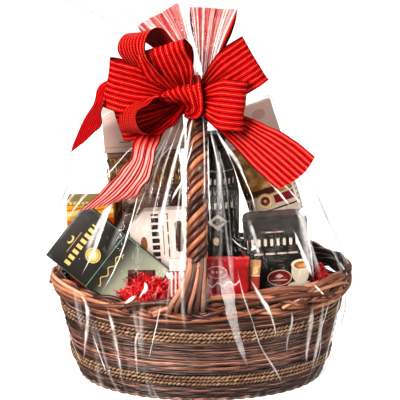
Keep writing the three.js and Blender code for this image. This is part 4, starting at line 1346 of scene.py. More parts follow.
def lumps(name, width, height, depth, count, size, seed):
    """Broken biscuits and nuts: one rough lump shaped once, then copied, turned and sized."""
    draw = random.Random(seed)
    deselect()
    bpy.ops.mesh.primitive_ico_sphere_add(subdivisions=2, radius=1)
    model = bpy.context.object
    faces = np.array([tuple(face.vertices) for face in model.data.polygons])
    ball = own_points(model).astype(float)
    bpy.data.objects.remove(model)
    shape = Shape()
    for k in range(count):
        x, z = draw.uniform(-0.42, 0.42) * width, draw.uniform(-0.42, 0.42) * height
        face = -1 if k % 3 else 1
        ends = min(1, max(0.15, (height / 2 - 9 - abs(z)) / (0.5 * depth))) ** 0.75
        y = face * depth * 0.33 * ends
        angle = draw.uniform(0, 6)
        axis = Vector([draw.gauss(0, 1) for _ in range(3)])
        turn = np.array(Matrix.Rotation(angle, 3, axis))
        rough = ball * (1 + 0.35 * ripple(*(ball.T * 9), 8, k * 3.1))[:, None]
        sizes = np.array([draw.uniform(0.7, 1.2), draw.uniform(0.5, 0.9), draw.uniform(0.6, 1.0)]) * size
        placed = (rough * sizes) @ turn.T + (x, y, z)
        placed[:, 0] = np.clip(placed[:, 0], -0.46 * width, 0.46 * width)
        placed[:, 1] = np.clip(placed[:, 1], -0.46 * depth * ends, 0.46 * depth * ends)
        shape.add(placed, faces, (0, 0, draw.random()))
    return shape.piece(name)


def snack_finish(name):
    fin = Finish(name)
    tone = fin.split(fin.mark("grain"))[2]
    crumb = fin.noise(fin.place(), 420, 4, 0.65)
    brown = fin.ramp(tone * 0.7 + crumb * 0.35, (0.1, "#160B08"), (0.4, "#38201A"), (0.65, "#63402F"),
                     (0.85, "#A07453"), (1, "#CBA27A"))
    return fin.surface(brown, fin.step(crumb, 0.3, 0.7, to=(0.45, 0.75)), fin.bump(crumb, 0.7))


def add_clear_bag(kind, film, packed, inset, **shape):
    """A clear bag's film and, so many millimetres within it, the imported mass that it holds."""
    name, slot = kind + "_bag", kind + "_film"
    size, place = PACKS[name]["size"], pack_place(**PACKS[name])
    set_down(bag(name + "_film", *size, **shape), place, film, slot, name, angle=60)
    set_down(bag(kind + "_core", *size, shrink=inset, **shape), place, packed, slot)


def add_packs():
    place = {name: pack_place(**spec) for name, spec in PACKS.items()}
    size = {name: spec["size"] for name, spec in PACKS.items()}
    for name, fin, slot, options in [
        ("chocolate_box", chocolate_print(), "charcoal_card", {}),
        ("gold_box", gold_print(), "gold_card", {}),
        ("cookie_box", cookie_print(), "cookie_card", {"cut": (13, 28)}),
        ("striped_pack", striped_print(), "striped_card", {"corner": 0.8, "bulge": 0.4}),
    ]:
        set_down(carton(name + "_card", *size[name], **options), place[name], fin, slot, name)
    for name, fin, slot, options in [
        ("tall_bag", tall_bag_print(), "tall_bag_film", {"slump": 18, "seed": 3}),
        ("biscuit_pack", biscuit_print(), "red_film", {**SMALL_SEALS, "seed": 7, "creases": 0.5}),
        ("tan_pack", tan_print(), "tan_film", {**SMALL_SEALS, "seed": 9, "creases": 0.2}),
    ]:
        set_down(bag(name + "_film", *size[name], **options), place[name], fin, slot, name, angle=60)
    for carrier, low in [("pasta_bag", -33), ("tall_bag", -25)]:
        name = carrier + "_header"
        fin = header_print(name.replace("_", " "), 8, low)
        apart = (Vector(PACKS[name]["at"]) - Vector(PACKS[carrier]["at"])).length
        skirt = max(0, apart - (size[name][1] + size[carrier][1]) / 2 + 1.5)
        set_down(header_card(name + "_card", *size[name], skirt), place[name], fin, "header_card", name)
    set_down(foil_brick("coffee_brick_foil", *size["coffee_brick"]), place["coffee_brick"],
             coffee_print(), "coffee_foil", "coffee_brick", angle=35)

    film = bag_film("clear pasta film", "#E9CBBF", 81.5)
    add_clear_bag("pasta", film, pasta_finish("packed pasta"), 5, seed=13)
    set_down(pasta_strands(*size["pasta_bag"]), place["pasta_bag"], pasta_finish("dry pasta"), "pasta_film")
    film = bag_film("clear snack film", "#E0BCB0", 74.5, 0.26)
    add_clear_bag("snack", film, snack_finish("packed snacks"), 6, seal=9, seed=17)
    set_down(lumps("snack_pieces", *size["snack_bag"], 190, 8.5, 19), place["snack_bag"],
             snack_finish("nuts and biscuit"), "snack_film")

    stand = Matrix.Translation(Vector(BOTTLE_AT) * MM)
    set_down(oil_bottle(), stand, bottle_print(), "bottle_glass", "oil_bottle", angle=30)
    top = Matrix.Translation((Vector(BOTTLE_AT) + Vector((0, 0, BOTTLE_HEIGHT + 0.3))) * MM)
    set_down(bottle_cap(), top, cap_finish(), "cap_plastic", "bottle_cap", angle=30)


add_packs()


# Shred

SHRED_LEVEL = 122
# Each heap: place, reach both ways, rise, and how far its strips stand up
SHRED_HEAPS = [((-74, -103), (52, 24), 27, 24), ((160, -18), (15, 36), 28, 8), ((8, -118), (36, 14), 24, 10)]
SHRED_SLOPE = 0.12 # share of the basket's half width over which a heap falls to the wall
SHRED_ROUND = (0, 0, 0, 0, 0, 1, 2, 2) # the heap that each strip in turn lies on
SHRED_STRIPS = 1700
SHRED_INSET = 8 # how far the strips stay within the wall's middle
SHRED_WIDTH = 2.0
SHRED_FOLD = 2.9 # length of one fold of a strip


def shred_top(x, y):
    """Height of the paper at a place in the basket."""
    level = SHRED_LEVEL + 3 * np.sin(x / 11) * np.cos(y / 9)
    inner = half_length_at(WALL_TOP) - WALL_THICKNESS
    spare = 1 - np.sqrt((x / inner) ** 2 + (y / (inner - OVAL_DIFFERENCE)) ** 2)
    slope = np.clip(spare / SHRED_SLOPE, 0.02, 1) ** 0.6
    for (hx, hy), (reach_x, reach_y), rise, _ in SHRED_HEAPS:
        level = level + rise * slope * np.exp(-((x - hx) / reach_x) ** 2 - ((y - hy) / reach_y) ** 2)
    return level


def shred_bed():
    """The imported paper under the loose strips: a rough heap that fills the basket round the packs."""
    angle = even_angles(288)[0]
    foot = [(FLOOR_TOP + 0.3, 60), (FLOOR_TOP + 0.3, 8), (30, 0), (93, 1)]
    rings = [oval(half_length_at(z) - WALL_THICKNESS - 2 - inset, z, angle) for z, inset in foot]
    top = half_length_at(118) - WALL_THICKNESS - 3
    for part in np.linspace(0, 1, 40):
        ring = oval(top - part * (top - OVAL_DIFFERENCE - 1.5), 0, angle)
        x, y = ring[:, 0], ring[:, 1]
        rough = 4.2 * ripple(x, y, x * 0, 7.5, 2) + 2.4 * ripple(x, y, x * 0, 3.1, 6)
        ring[:, 2] = shred_top(x, y) - 5.5 + rough * (0.3 + 0.7 * min(1, part * 8)) - 4 * (part == 0)
        rings.append(ring)
    # Its low depth gives the bed the painted shade of the paper's finish.
    return skin("shred_bed", rings, depth=0.1)


def strip_spot(draw, trial, room):
    """Where a strip lies, mostly on one of the heaps, and how far the strips there stand up."""
    (hx, hy), (reach_x, reach_y), _, loose = SHRED_HEAPS[SHRED_ROUND[trial % len(SHRED_ROUND)]]
    if trial % 5 == 4:
        spot = draw.uniform(0, 2 * math.pi)
        reach = draw.uniform(0.5, 0.93)
        return room * reach * math.cos(spot), (room - OVAL_DIFFERENCE) * reach * math.sin(spot), loose
    return hx + draw.gauss(0, 0.55) * reach_x, hy + draw.gauss(0, 0.5) * reach_y, loose


def strip_path(draw, x0, y0, loose):
    """The folds of one loose curl over a place, how clear of the heap each is, and the way it faces."""
    folds = draw.randint(6, 13)
    lean = draw.choice([0.2, 0.6, 0.9, 1.1, 1.3, 1.5])
    curl = draw.uniform(5, 11) if lean > 0.7 else draw.uniform(8, 20)
    first = draw.uniform(0, 2 * math.pi)
    turn = first + draw.choice([-1, 1]) * np.arange(folds + 1) * SHRED_FOLD / curl
    heading = draw.uniform(0, 2 * math.pi)
    c, s = math.cos(heading), math.sin(heading)
    flat_way = np.array([c, s, 0])
    steep_way = np.array([-s * math.cos(lean), c * math.cos(lean), math.sin(lean)])
    curve = curl * (np.cos(turn)[:, None] * flat_way + np.sin(turn)[:, None] * steep_way)
    path = curve - curve.mean(0) + (x0, y0, 0)
    top = shred_top(path[:, 0], path[:, 1])
    rise = loose * draw.choice([0, 0, 0, 0, 0.08, 0.15, 0.3, 0.65])
    path[:, 2] = np.maximum(path[:, 2] + shred_top(x0, y0) + rise, top - 4)
    path[:, 2] = np.minimum(path[:, 2], top + loose) + SHRED_FOLD * 0.3 * (-1) ** np.arange(folds + 1)
    clear = np.clip((path[:, 2] - top + 3) / (0.5 * loose), 0.1, 1)
    return path, clear, np.cross(flat_way, steep_way)


def shred_strips(count, walls):
    """Narrow strips of crinkled paper, each a loose curl that lies or stands on the heap."""
    draw = random.Random(77)
    shape = Shape()
    room = half_length_at(WALL_TOP) - SHRED_INSET
    made = 0
    for trial in range(count * 4):
        if made >= count:
            break
        x0, y0, loose = strip_spot(draw, trial, room)
        path, clear, facing = strip_path(draw, x0, y0, loose)
        reach = (path[:, 0] / room) ** 2 + (path[:, 1] / (room - OVAL_DIFFERENCE)) ** 2
        if (reach > 1).any() or any(too_near(walls, point, 1.2) for point in path[::2]):
            continue
        side = facing + np.array([0, 0, draw.uniform(-0.6, 0.6)])
        side = side / np.linalg.norm(side) * SHRED_WIDTH / 2
        thick = unit(np.cross(np.gradient(path, axis=0), side)) * 0.16
        rings = [path - side - thick, path + side - thick, path + side + thick, path - side + thick]
        loft(shape, np.stack(rings, 1), grain=(0, 0, draw.random()), depth=np.repeat(clear, 4))
        made += 1
    return shape.piece("shred_strips")


def too_near(walls, point, gap):
    """True where a point in millimetres lies inside a closed piece or within a gap of it."""
    point = Vector(point) * MM
    for tree in walls:
        place, normal, _, far = tree.find_nearest(point)
        if far < gap * MM or (point - place).dot(normal) < 0 and far < 25 * MM:
            return True
    return False


def shred_finish():
    fin = Finish("red crinkled paper")
    tone = fin.split(fin.mark("grain"))[2]
    depth = fin.mark("depth", out="Fac")
    fibre = fin.noise(fin.place(), 700, 3)
    cloud = fin.noise(fin.place(), 140, 2)
    red = fin.ramp(tone * 0.75 + cloud * 0.3,
                   (0.05, "#B00812"), (0.35, "#DC101C"), (0.7, "#F43440"), (1, "#FF9A98"))
    # Painted shade: the strips darken where they lie low on the heap, and the bed under them with them.
    shade = fin.ramp(cloud + tone * 0.3, (0.35, "#3A0206"), (0.8, "#9A0812"))
    red = fin.blend(fin.step(depth, 0.1, 0.75), shade, red)
    return fin.surface(red, 0.55, fin.bump(fibre, 0.25), Specular_IOR_Level=0.4)


def add_shred():
    walls = [ray_tree(bpy.data.objects[name].data) for name in (
        "chocolate_box_card", "gold_box_card", "cookie_box_card", "striped_pack_card", "tall_bag_film",
        "biscuit_pack_film", "tan_pack_film", "coffee_brick_foil", "pasta_bag_film", "snack_bag_film",
        "oil_bottle_glass")]
    paper = shred_finish()
    dress(shred_bed(), paper, "paper_shred", "shred_heap", angle=60)
    dress(shred_strips(SHRED_STRIPS, walls), paper, "paper_shred", angle=25)


add_shred()


# Bow

RIBBON_WIDTH = 63.5
RIBBON_PLEATS = 5 # half waves across the ribbon where it is gathered
RIBBON_STEP = 2.2 # length of a row of its mesh
SELVEDGE = 0.955 # share of the half width where the wired edge starts
KNOT = (-15, -38, 386)

# Each loop: the way out of the knot, its length, the way its width lies, and how far its sides stand apart
BOW_LOOPS = {
    "top": {"towards": (-37, -50, 77), "length": 95, "across": (1, -0.1, 0.14), "bulge": 13},
    "upper_left": {"towards": (-76, -30, 96), "length": 113, "across": (0.5, -0.8, 0.2), "bulge": 22},
    "left": {"towards": (-104, -12, 24), "length": 108, "across": (0.03, -0.1, 1), "bulge": 13},
    "lower_left": {"towards": (-78, -40, -25), "length": 90, "across": (0.3, -0.9, 0.1), "bulge": 21},
    "far_left": {"towards": (-97, 8, -27), "length": 98, "across": (0.2, -0.3, 0.9), "bulge": 12},
    "upper_right": {"towards": (86, -16, 57), "length": 101, "across": (-0.34, 0, 0.94), "bulge": 15},
    "right": {"towards": (69, -42, -2), "length": 80, "across": (0.31, 0, 0.95), "bulge": 15},
    "back_left": {"towards": (-50, 54, 86), "length": 113, "across": (0.92, 0.06, 0.39), "bulge": 10,
                  "flare": 1, "start": (-8, 22, 396)},
    "back_right": {"towards": (9, 54, 95), "length": 109, "across": (0.98, -0.07, -0.17), "bulge": 10,
                   "flare": 1, "start": (8, 22, 396)},
}
# Loose ends: middle points and half widths from the knot outwards, which side shows, how round the cut
# end is, and how strongly a painted sheen pales each towards its end
TAILS = {
    "right": (-1, 7, 0.05, [
        ((-9, -40, 380), (5, 0, 4)), ((30, -52, 362), (20, 4, 12)), ((58, -66, 347), (25, 6, 18)),
        ((90, -84, 326), (25, 6, 18)), ((119, -96, 303), (24, 7, 19))]),
    "left": (-1, 3, 0.62, [
        ((-22, -40, 378), (5, -4, 0)), ((-50, -48, 356), (12, -12, 4)), ((-68, -60, 342), (16, -20, 4)),
        ((-80, -82, 307), (17, -25, 4)), ((-105, -90, 275), (23, -20, 2)), ((-125, -88, 259), (30, -6, 9))]),
    "far_left": (-1, 0, 0.0, [
        ((-22, -32, 388), (0, 2, 5)), ((-72, -4, 392), (0, 12, 10)), ((-120, -16, 398), (-4, 20, 5)),
        ((-131, -26, 382), (-9, 29, -4)), ((-142, -32, 354), (-15, 27, -9)),
        ((-154, -36, 328), (-17, 22, -16))]),
}
# The knot's own small loop: it comes over the knot, turns under and goes back, open to the left
KNOT_LOOP = [
    ((-17, -30, 393), (5, 1, 3)), ((-27, -48, 407), (24, 2, 10)), ((-29, -68, 403), (29, 4, 12)),
    ((-22, -66, 390), (27, -3, 8)), ((-16, -58, 381), (21, -11, -2)), ((-17, -52, 375), (13, -17, -8)),
    ((-22, -46, 372), (4, -13, -6)), ((-22, -34, 378), (0, -4, -2)),
]
NECK_MIDDLE_Z = 392.5
# Gathered lengths between the knot, the tie and the loops behind: both ends, and the radius
TIE_LINKS = [
    ((KNOT, (-3, -16, 393)), 6),
    (((-3, 17.5, 392.5), (-8, 30, 409)), 4.5),
    (((3, 17.5, 392.5), (7, 30, 410)), 4.5),
]
LINK_ROWS = 10
LINK_COLUMNS = 40


def smooth_step(value):
    value = np.clip(value, 0, 1)
    return value * value * (3 - 2 * value)


def evenly(middle, half, step):
    """The same path with its stations an even distance apart, and that distance along it."""
    run = run_along(middle)
    along = np.linspace(0, run[-1], max(6, int(run[-1] / step)))
    middle, half = (np.stack([np.interp(along, run, values[:, i]) for i in range(3)], 1)
                    for values in (middle, half))
    return middle, half, along


def thin_sheet(shape, front, back, marks, bloom):
    """Two layers of a sheet, joined all round their edge. The first layer's marks have a plus side.

    The last argument is how far a painted sheen pales each point."""
    rows, columns = front.shape[:2]
    size = rows * columns
    quads = lattice(rows, columns, closed_columns=False)
    rim = [*range(columns), *(i * columns + columns - 1 for i in range(1, rows)),
           *range(size - 2, size - columns - 1, -1), *(i * columns for i in range(rows - 2, 0, -1))]
    sides = [(b, a, a + size, b + size) for a, b in zip(rim, rim[1:] + rim[:1])]
    faces = [*map(tuple, quads.tolist()), *map(tuple, (quads[:, ::-1] + size).tolist()), *sides]
    both = np.concatenate([front.reshape(-1, 3), back.reshape(-1, 3)])
    across, along, sheen_paling = (np.tile(values.ravel(), 2) for values in (*marks, bloom))
    side = np.repeat([1.0, -1.0], size)
    shape.add(both, faces, np.stack([across, along, side], 1), 1 - sheen_paling)


def ribbon(name, middle, half, seed, front=1, nose=None, bloom=0.0):
    """A wired ribbon as a thin closed sheet. Where it is gathered, its pleats hold the rest of its width.

    A loose end has a nose: how far the middle of its cut end stands out. `front` is -1 where the
    ribbon's back shows, and the last argument is how far a painted sheen pales a loose end."""
    draw = random.Random(seed)
    middle, half, along = evenly(np.asarray(middle, float), np.asarray(half, float), RIBBON_STEP)
    length = along[-1]
    width = np.linalg.norm(half, axis=1)
    ahead = unit(np.gradient(middle, axis=0))
    out = unit(np.cross(half, ahead)) * front
    w = np.array([-1, -0.985, *np.linspace(-SELVEDGE, SELVEDGE, 33), 0.985, 1])
    narrow = np.clip(width / (RIBBON_WIDTH / 2), 0.05, 1)
    fold = RIBBON_WIDTH / 2 * np.sqrt(2 * (1 - narrow ** 2)) / (RIBBON_PLEATS * math.pi)
    gathered = np.minimum(along, length - along) if nose is None else along
    fold = fold + 0.9 * np.exp(-gathered / 35) * (narrow > 0.5)
    drift = draw.uniform(-1, 1) + 0.5 * np.sin(along / draw.uniform(30, 50) + draw.uniform(0, 6))
    uneven = 1 + 0.35 * np.sin(w * 4.1 + draw.uniform(0, 6))
    pleats = RIBBON_PLEATS * math.pi * w * (1 + 0.08 * np.sin(w * 5))
    lift = (fold[:, None] * uneven) * np.cos(pleats + drift[:, None])
    spread = smooth_step((narrow - 0.4) / 0.6)
    wave = draw.uniform(38, 60)
    slow = np.sin(2 * math.pi * along / wave + draw.uniform(0, 6))[:, None]
    quick = np.sin(2 * math.pi * along / (0.7 * wave) + draw.uniform(0, 6))[:, None]
    flutter = 1.5 * slow * w * np.abs(w) + 1.1 * quick * w ** 2
    soft = np.array([[noise.noise(Vector((s / 19, v * 1.7, seed * 7.3))) for v in w] for s in along])
    lift = lift + (flutter + 1.3 * soft) * spread[:, None]
    push = (nose or 0) * smooth_step((along - 0.7 * length) / (0.3 * length))[:, None] * (1 - w ** 2)
    sheet = (middle[:, None] + half[:, None] * w[:, None] + out[:, None] * lift[..., None]
             + ahead[:, None] * push[..., None])
    normal = unit(np.cross(np.gradient(sheet, axis=1), np.gradient(sheet, axis=0))) * front
    thick = 0.16 + 0.34 * (np.abs(w) > SELVEDGE)
    layers = sheet + normal * thick[:, None], sheet - normal * thick[:, None]
    marks = [np.broadcast_to(values, sheet.shape[:2]) for values in (w * RIBBON_WIDTH / 2, along[:, None])]
    shape = Shape()
    # Painted sheen: a loose end pales from about a third of its length outwards.
    far_out = smooth_step((along / length - 0.35) / 0.2) * (1 - 0.5 * along / length)
    sheen_paling = bloom * far_out[:, None] * (0.8 + 0.2 * soft)
    thin_sheet(shape, *(layer if front > 0 else layer[:, ::-1] for layer in layers), marks, sheen_paling)
    return shape.piece(name), length


def loop_path(towards, length, across, bulge, start=KNOT, flare=0.75):
    """Middle and half widths of a loop that leaves the knot, turns round and comes back."""
    ahead = unit(np.array(towards, float))
    wide = np.array(across, float)
    wide = unit(wide - ahead * wide.dot(ahead))
    apart = np.cross(wide, ahead)
    t = np.linspace(0.045, 0.955, 240)
    out = (1 - np.cos(2 * math.pi * t)) / 2
    side = np.sin(2 * math.pi * t) * np.sqrt(out) * 1.3
    gather = 0.16 + 0.84 * smooth_step(out / flare)
    middle = np.array(start) + length * out[:, None] * ahead + bulge * side[:, None] * apart
    return middle, RIBBON_WIDTH / 2 * gather[:, None] * wide


def ring_path(centre, normal, radius, half_width, squash=1.0):
    """Middle and half widths of a gathered band round an axis."""
    normal = unit(np.array(normal, float))
    side = unit(np.cross(normal, (0, 0.2, 1.0)))
    up = np.cross(side, normal)
    turn = np.linspace(-math.pi * 1.02, math.pi * 1.02, 120)[:, None]
    swell = 1 + 0.04 * turn / math.pi
    middle = np.array(centre) + radius * swell * (np.sin(turn) * side * squash + np.cos(turn) * up)
    return middle, np.broadcast_to(normal * half_width, middle.shape)


def gathered_link(shape, ends, radius, seed):
    """A length of ribbon gathered to a pleated cord."""
    path = spline([ends[0], (np.array(ends[0]) + ends[1]) / 2 + (0, 0, 1), ends[1]], LINK_ROWS)
    ahead = unit(path[-1] - path[0])
    side = unit(np.cross(ahead, (1, 0.1, 0.2)))
    over = np.cross(side, ahead)
    turn = around(LINK_COLUMNS)
    reach = radius * (0.86 + 0.14 * np.cos(9 * turn + seed))
    rings = path[:, None] + (reach * np.cos(turn))[:, None] * side + (reach * np.sin(turn))[:, None] * over
    grain = np.stack([np.tile(turn * 10 - 31, LINK_ROWS), np.repeat(np.arange(LINK_ROWS) * 2.0, LINK_COLUMNS),
                      np.ones(LINK_ROWS * LINK_COLUMNS)], 1)
    loft(shape, rings, grain=grain)


LINE_PITCH = 7.05
GOLD_LINES_REACH = 30.2 # how far from the ribbon's middle its gold lines go
EDGE_REACH = 31
DOT_PITCH = 3.1
WEFT_PITCH = 1.15
WARP_PITCH = 0.8
# The strongest painted sheen on a loose end
STRONGEST_SHEEN = 0.8


def ribbon_finish():
    """Woven red ribbon: dotted gold lines and dark ones between on the front, dark lines on the back, with
    painted glints on the front and a painted sheen on the loose ends.
    """
    fin = Finish("striped woven ribbon")
    across, along, side = fin.split(fin.mark("grain"))
    cell = fin.math("FRACT", across / LINE_PITCH + 0.5)
    off = abs(cell - 0.5)
    front = side > 0
    within = abs(across) < GOLD_LINES_REACH
    dots = fin.math("FRACT", along / DOT_PITCH) < 0.58
    gold = (off < 0.032) * dots * within * front
    dark = fin.step(off + (1 - front) * 0.06, 0.4, 0.44)
    weft = fin.math("SINE", along * (2 * math.pi / WEFT_PITCH)) * 0.5 + 0.5
    warp = fin.math("SINE", across * (2 * math.pi / WARP_PITCH)) * 0.5 + 0.5
    slub = fin.noise(fin.vector(across * 0.7, along * 0.12, side * 9), 1, 3)
    painted_glint = fin.noise(fin.vector(across * 1.9, along * 0.5, side * 5), 1, 2)
    red = fin.blend(fin.step(slub, 0.25, 0.75), "#A20209", "#EA0712")
    plain = fin.blend(fin.step(slub, 0.3, 0.8), "#AC0408", "#EA0812")
    red = fin.blend(front, plain, red)
    stripe = fin.math("COSINE", across * (2 * math.pi / LINE_PITCH))
    # Painted sheen: pale streaks along the stripes where a loose end pales, up to a limit.
    bloom = (1 - fin.mark("depth", out="Fac")) * fin.step(stripe + slub * 0.9, 0.15, 0.85, to=(0.06, 1.5))
    bloom = fin.math("MINIMUM", bloom, STRONGEST_SHEEN)
    red = fin.blend(bloom, red, "#FFF0EC")
    red = fin.blend(dark * (0.92 - bloom * 0.8), red, "#1E0204")
    # Painted glints: pale pink patches on the front.
    red = fin.blend(fin.step(painted_glint, 0.6, 0.74) * front * (1 - dark) * 0.25, red, "#F4605A")
    red = fin.blend(gold, red, "#FFD0A0")
    red = fin.blend(abs(across) > EDGE_REACH, red, "#2A0508")
    height = weft * 0.3 + warp * 0.2 + slub * 0.25 - dark * 0.5 + gold * 0.8
    shine = fin.step(slub, 0.2, 0.8, to=(0.42, 0.62)) - gold * 0.12
    return fin.surface(red, shine, fin.bump(height, 0.35), Specular_IOR_Level=0.06)


def add_ribbon(cloth, rests_on, name, middle, half, **options):
    made, length = ribbon(name, middle, half, **options)
    dress(made, cloth, "ribbon", "bow", angle=60)


def add_bow():
    cloth = ribbon_finish()
    shape = Shape()
    for seed, (ends, radius) in enumerate(TIE_LINKS):
        gathered_link(shape, ends, radius, seed)
    dress(shape.piece("bow_links"), cloth, "ribbon", "bow", angle=60)
    tie = ring_path((0, 1.5, NECK_MIDDLE_Z), (0, 0, 1), 15.2, 5.5)
    add_ribbon(cloth, ["film_wrap"], "bow_tie", *tie, seed=50)
    band = ring_path(KNOT, (0.25, 1, 0.1), 11.5, 10, 1.2)
    add_ribbon(cloth, ["bow_links"], "bow_knot_band", *band, seed=51)
    for seed, (name, spec) in enumerate(BOW_LOOPS.items()):
        add_ribbon(cloth, ["bow_links"], f"bow_loop_{name}", *loop_path(**spec), seed=seed + 1)
    knot_loop = (spline(stations, 160) for stations in zip(*KNOT_LOOP))
    add_ribbon(cloth, ["bow_links"], "bow_loop_knot", *knot_loop, seed=41, front=-1)
    for seed, (name, (front, nose, bloom, stations)) in enumerate(TAILS.items()):
        tail = (spline(places, 160) for places in zip(*stations))
        add_ribbon(cloth, ["bow_links", "film_wrap"], f"bow_tail_{name}", *tail,
                   seed=seed + 21, front=front, nose=nose, bloom=bloom)


add_bow()


# Film

NECK_Z = 384
NECK_RADIUS = 12
NECK_OUTLINE = [(0.2, 1.6), (3, 0), (7, -1.3), (11, -1)] # height over its foot, and how much wider
RUFFLE_FOOT_Z = 397
RUFFLE_TOP_Z = 546
RUFFLE_TURN = 18
FILM_THICKNESS = 0.15
FILM_COLUMNS = 640
TENT_ROWS = 70
RUFFLE_ROWS = 34


def film_shell(name, rings, milk):
    """A thin closed film from rings that climb: its outside, then its inside a hair's breadth within."""
    ahead = np.gradient(rings, axis=0)
    beside = np.roll(rings, -1, axis=1) - np.roll(rings, 1, axis=1)
    inside = rings - unit(np.cross(beside, ahead)) * FILM_THICKNESS
    return skin(name, np.concatenate([rings, inside[::-1]]), closed=True,
                depth=np.concatenate([milk, milk[::-1]]).ravel())


def ring_at(angle, radius, z):
    return np.stack([radius * np.cos(angle), radius * np.sin(angle), z + 0 * angle], 1)


def cast_inwards(tree, turn, z):
    """Where a level ray from outside meets the film, with the film's normal there."""
    out = Vector((math.cos(turn), math.sin(turn), 0))
    hit, normal, _, _ = tree.ray_cast(Vector((0, 0, z * MM)) + out, -out)
    return hit / MM, normal


def fill_columns(rough):
    """Four even columns for each one of a closed net that was worked out at every fourth column."""
    after = np.roll(rough, -1, axis=1)
    fine = np.stack([rough + (after - rough) * k / 4 for k in range(4)], 2)
    return fine.reshape(len(rough), -1, *rough.shape[2:])


def pleat_field(angle, share, sets):
    """Creases that run down from the neck: sharp ridges between wide flats, from 0 to 1."""
    total = 0 * angle * share
    for count, drift, phase, gain in sets:
        wave = np.sin(count * angle + drift * share + phase)
        total = np.maximum(total, gain * np.exp(-(1 - wave) * 26))
    return total


def soft_field(angle, heights, across, up, seed):
    """Smooth noise over the film."""
    return fill_columns(np.array([
        [noise.noise(Vector((math.cos(a) * across + seed, math.sin(a) * across, z / up))) for a in angle[::4]]
        for z in heights]))


def film_tent(tree):
    """The stretched film from the foot of the basket to the neck, with how milky each point is: white along
    its ridges, partly painted highlight.
    """
    draw = random.Random(91)
    sets = [(n, draw.uniform(-4, 4), draw.uniform(0, 6.3), draw.uniform(0.6, 1)) for n in (7, 11, 16, 25)]
    angle = around(FILM_COLUMNS)
    heights = np.concatenate([
        np.linspace(1.4, 12, 5, endpoint=False), np.linspace(12, 150, 28, endpoint=False),
        np.linspace(150, NECK_Z - 1.5, TENT_ROWS - 33)])
    rings = fill_columns(np.array([
        [tuple(cast_inwards(tree, a, z)[0]) for a in angle[::4]] for z in heights]))
    share = (heights / NECK_Z)[:, None]
    gate = np.clip(soft_field(angle, heights, 2.6, 90, 3) * 3.2 + 0.15, 0, 1)
    ridges = pleat_field(angle, share, sets) * gate
    wobble = soft_field(angle, heights, 3.4, 60, 8)
    dents = np.abs(soft_field(angle, heights, 7, 26, 5))
    near_neck = np.clip((share - 0.4) / 0.6, 0, 1)
    low = np.clip((heights - 2) / 20, 0, 1)[:, None]
    push = (1.9 * ridges + 0.8 * wobble + 1.2 * (0.25 - dents)) * low * (1 - 0.6 * near_neck ** 5)
    return rings + ring_at(angle, 1, 0) * push[..., None], ridges * (0.35 + 0.5 * near_neck)


def neck_and_ruffle():
    """The gathered neck, and the loose film above the tie in many sharp pleats."""
    draw = random.Random(93)
    angle = around(FILM_COLUMNS)
    c = np.cos(angle + RUFFLE_TURN * DEGREE)
    reach = 66 + 108 * np.maximum(0, -c) ** 9 - 10 * np.sin(angle)
    top = RUFFLE_TOP_Z - 21 * (1 - c) + 4 * np.sin(3 * angle)
    rings = [ring_at(angle, NECK_RADIUS + more + 0.8 * np.cos(34 * angle), NECK_Z + rise)
             for rise, more in NECK_OUTLINE]
    fine = sum(draw.uniform(0.4, 1) * np.sin(n * angle + draw.uniform(0, 6.3))
               for n in (19, 27, 35, 51)) / 2.2
    for t in np.linspace(0.02, 1, RUFFLE_ROWS):
        pleat = 0.11 * t * reach * np.cos(9 * angle + 1.3 * t * np.sin(2 * angle))
        crinkle = (0.045 * t * reach + 1.0) * fine * (0.75 + 0.25 * math.sin(9 * t))
        radius = NECK_RADIUS + 1 + (reach - NECK_RADIUS) * t ** 1.55 + pleat + crinkle
        rings.append(ring_at(angle, radius, RUFFLE_FOOT_Z + (top - RUFFLE_FOOT_Z) * t + 2.5 * t * fine))
    # Milky crests on the pleats, partly painted highlight, over a faint even veil.
    crest = (np.exp(-(1 - np.sin(19 * angle + 2 * np.sin(3 * angle))) * 14)
             + np.exp(-(1 - np.sin(31 * angle)) * 20) * 0.7)
    fade = np.concatenate([[0.5] * len(NECK_OUTLINE), np.linspace(0.8, 0.25, RUFFLE_ROWS)])
    veil = 0.13 + 0.1 * np.sin(13 * angle + 2) * np.sin(5 * angle)
    return np.array(rings), np.clip(veil + np.clip(crest, 0, 1)[None] * fade[:, None], 0, 1)


# Levels between which the folds at the back start and end: every second one is an upper fold
FAR_FOLDS = 46
UPPER_FOLDS = ((330, 376), (160, 280))
LOWER_FOLDS = ((120, 150), (12, 80))
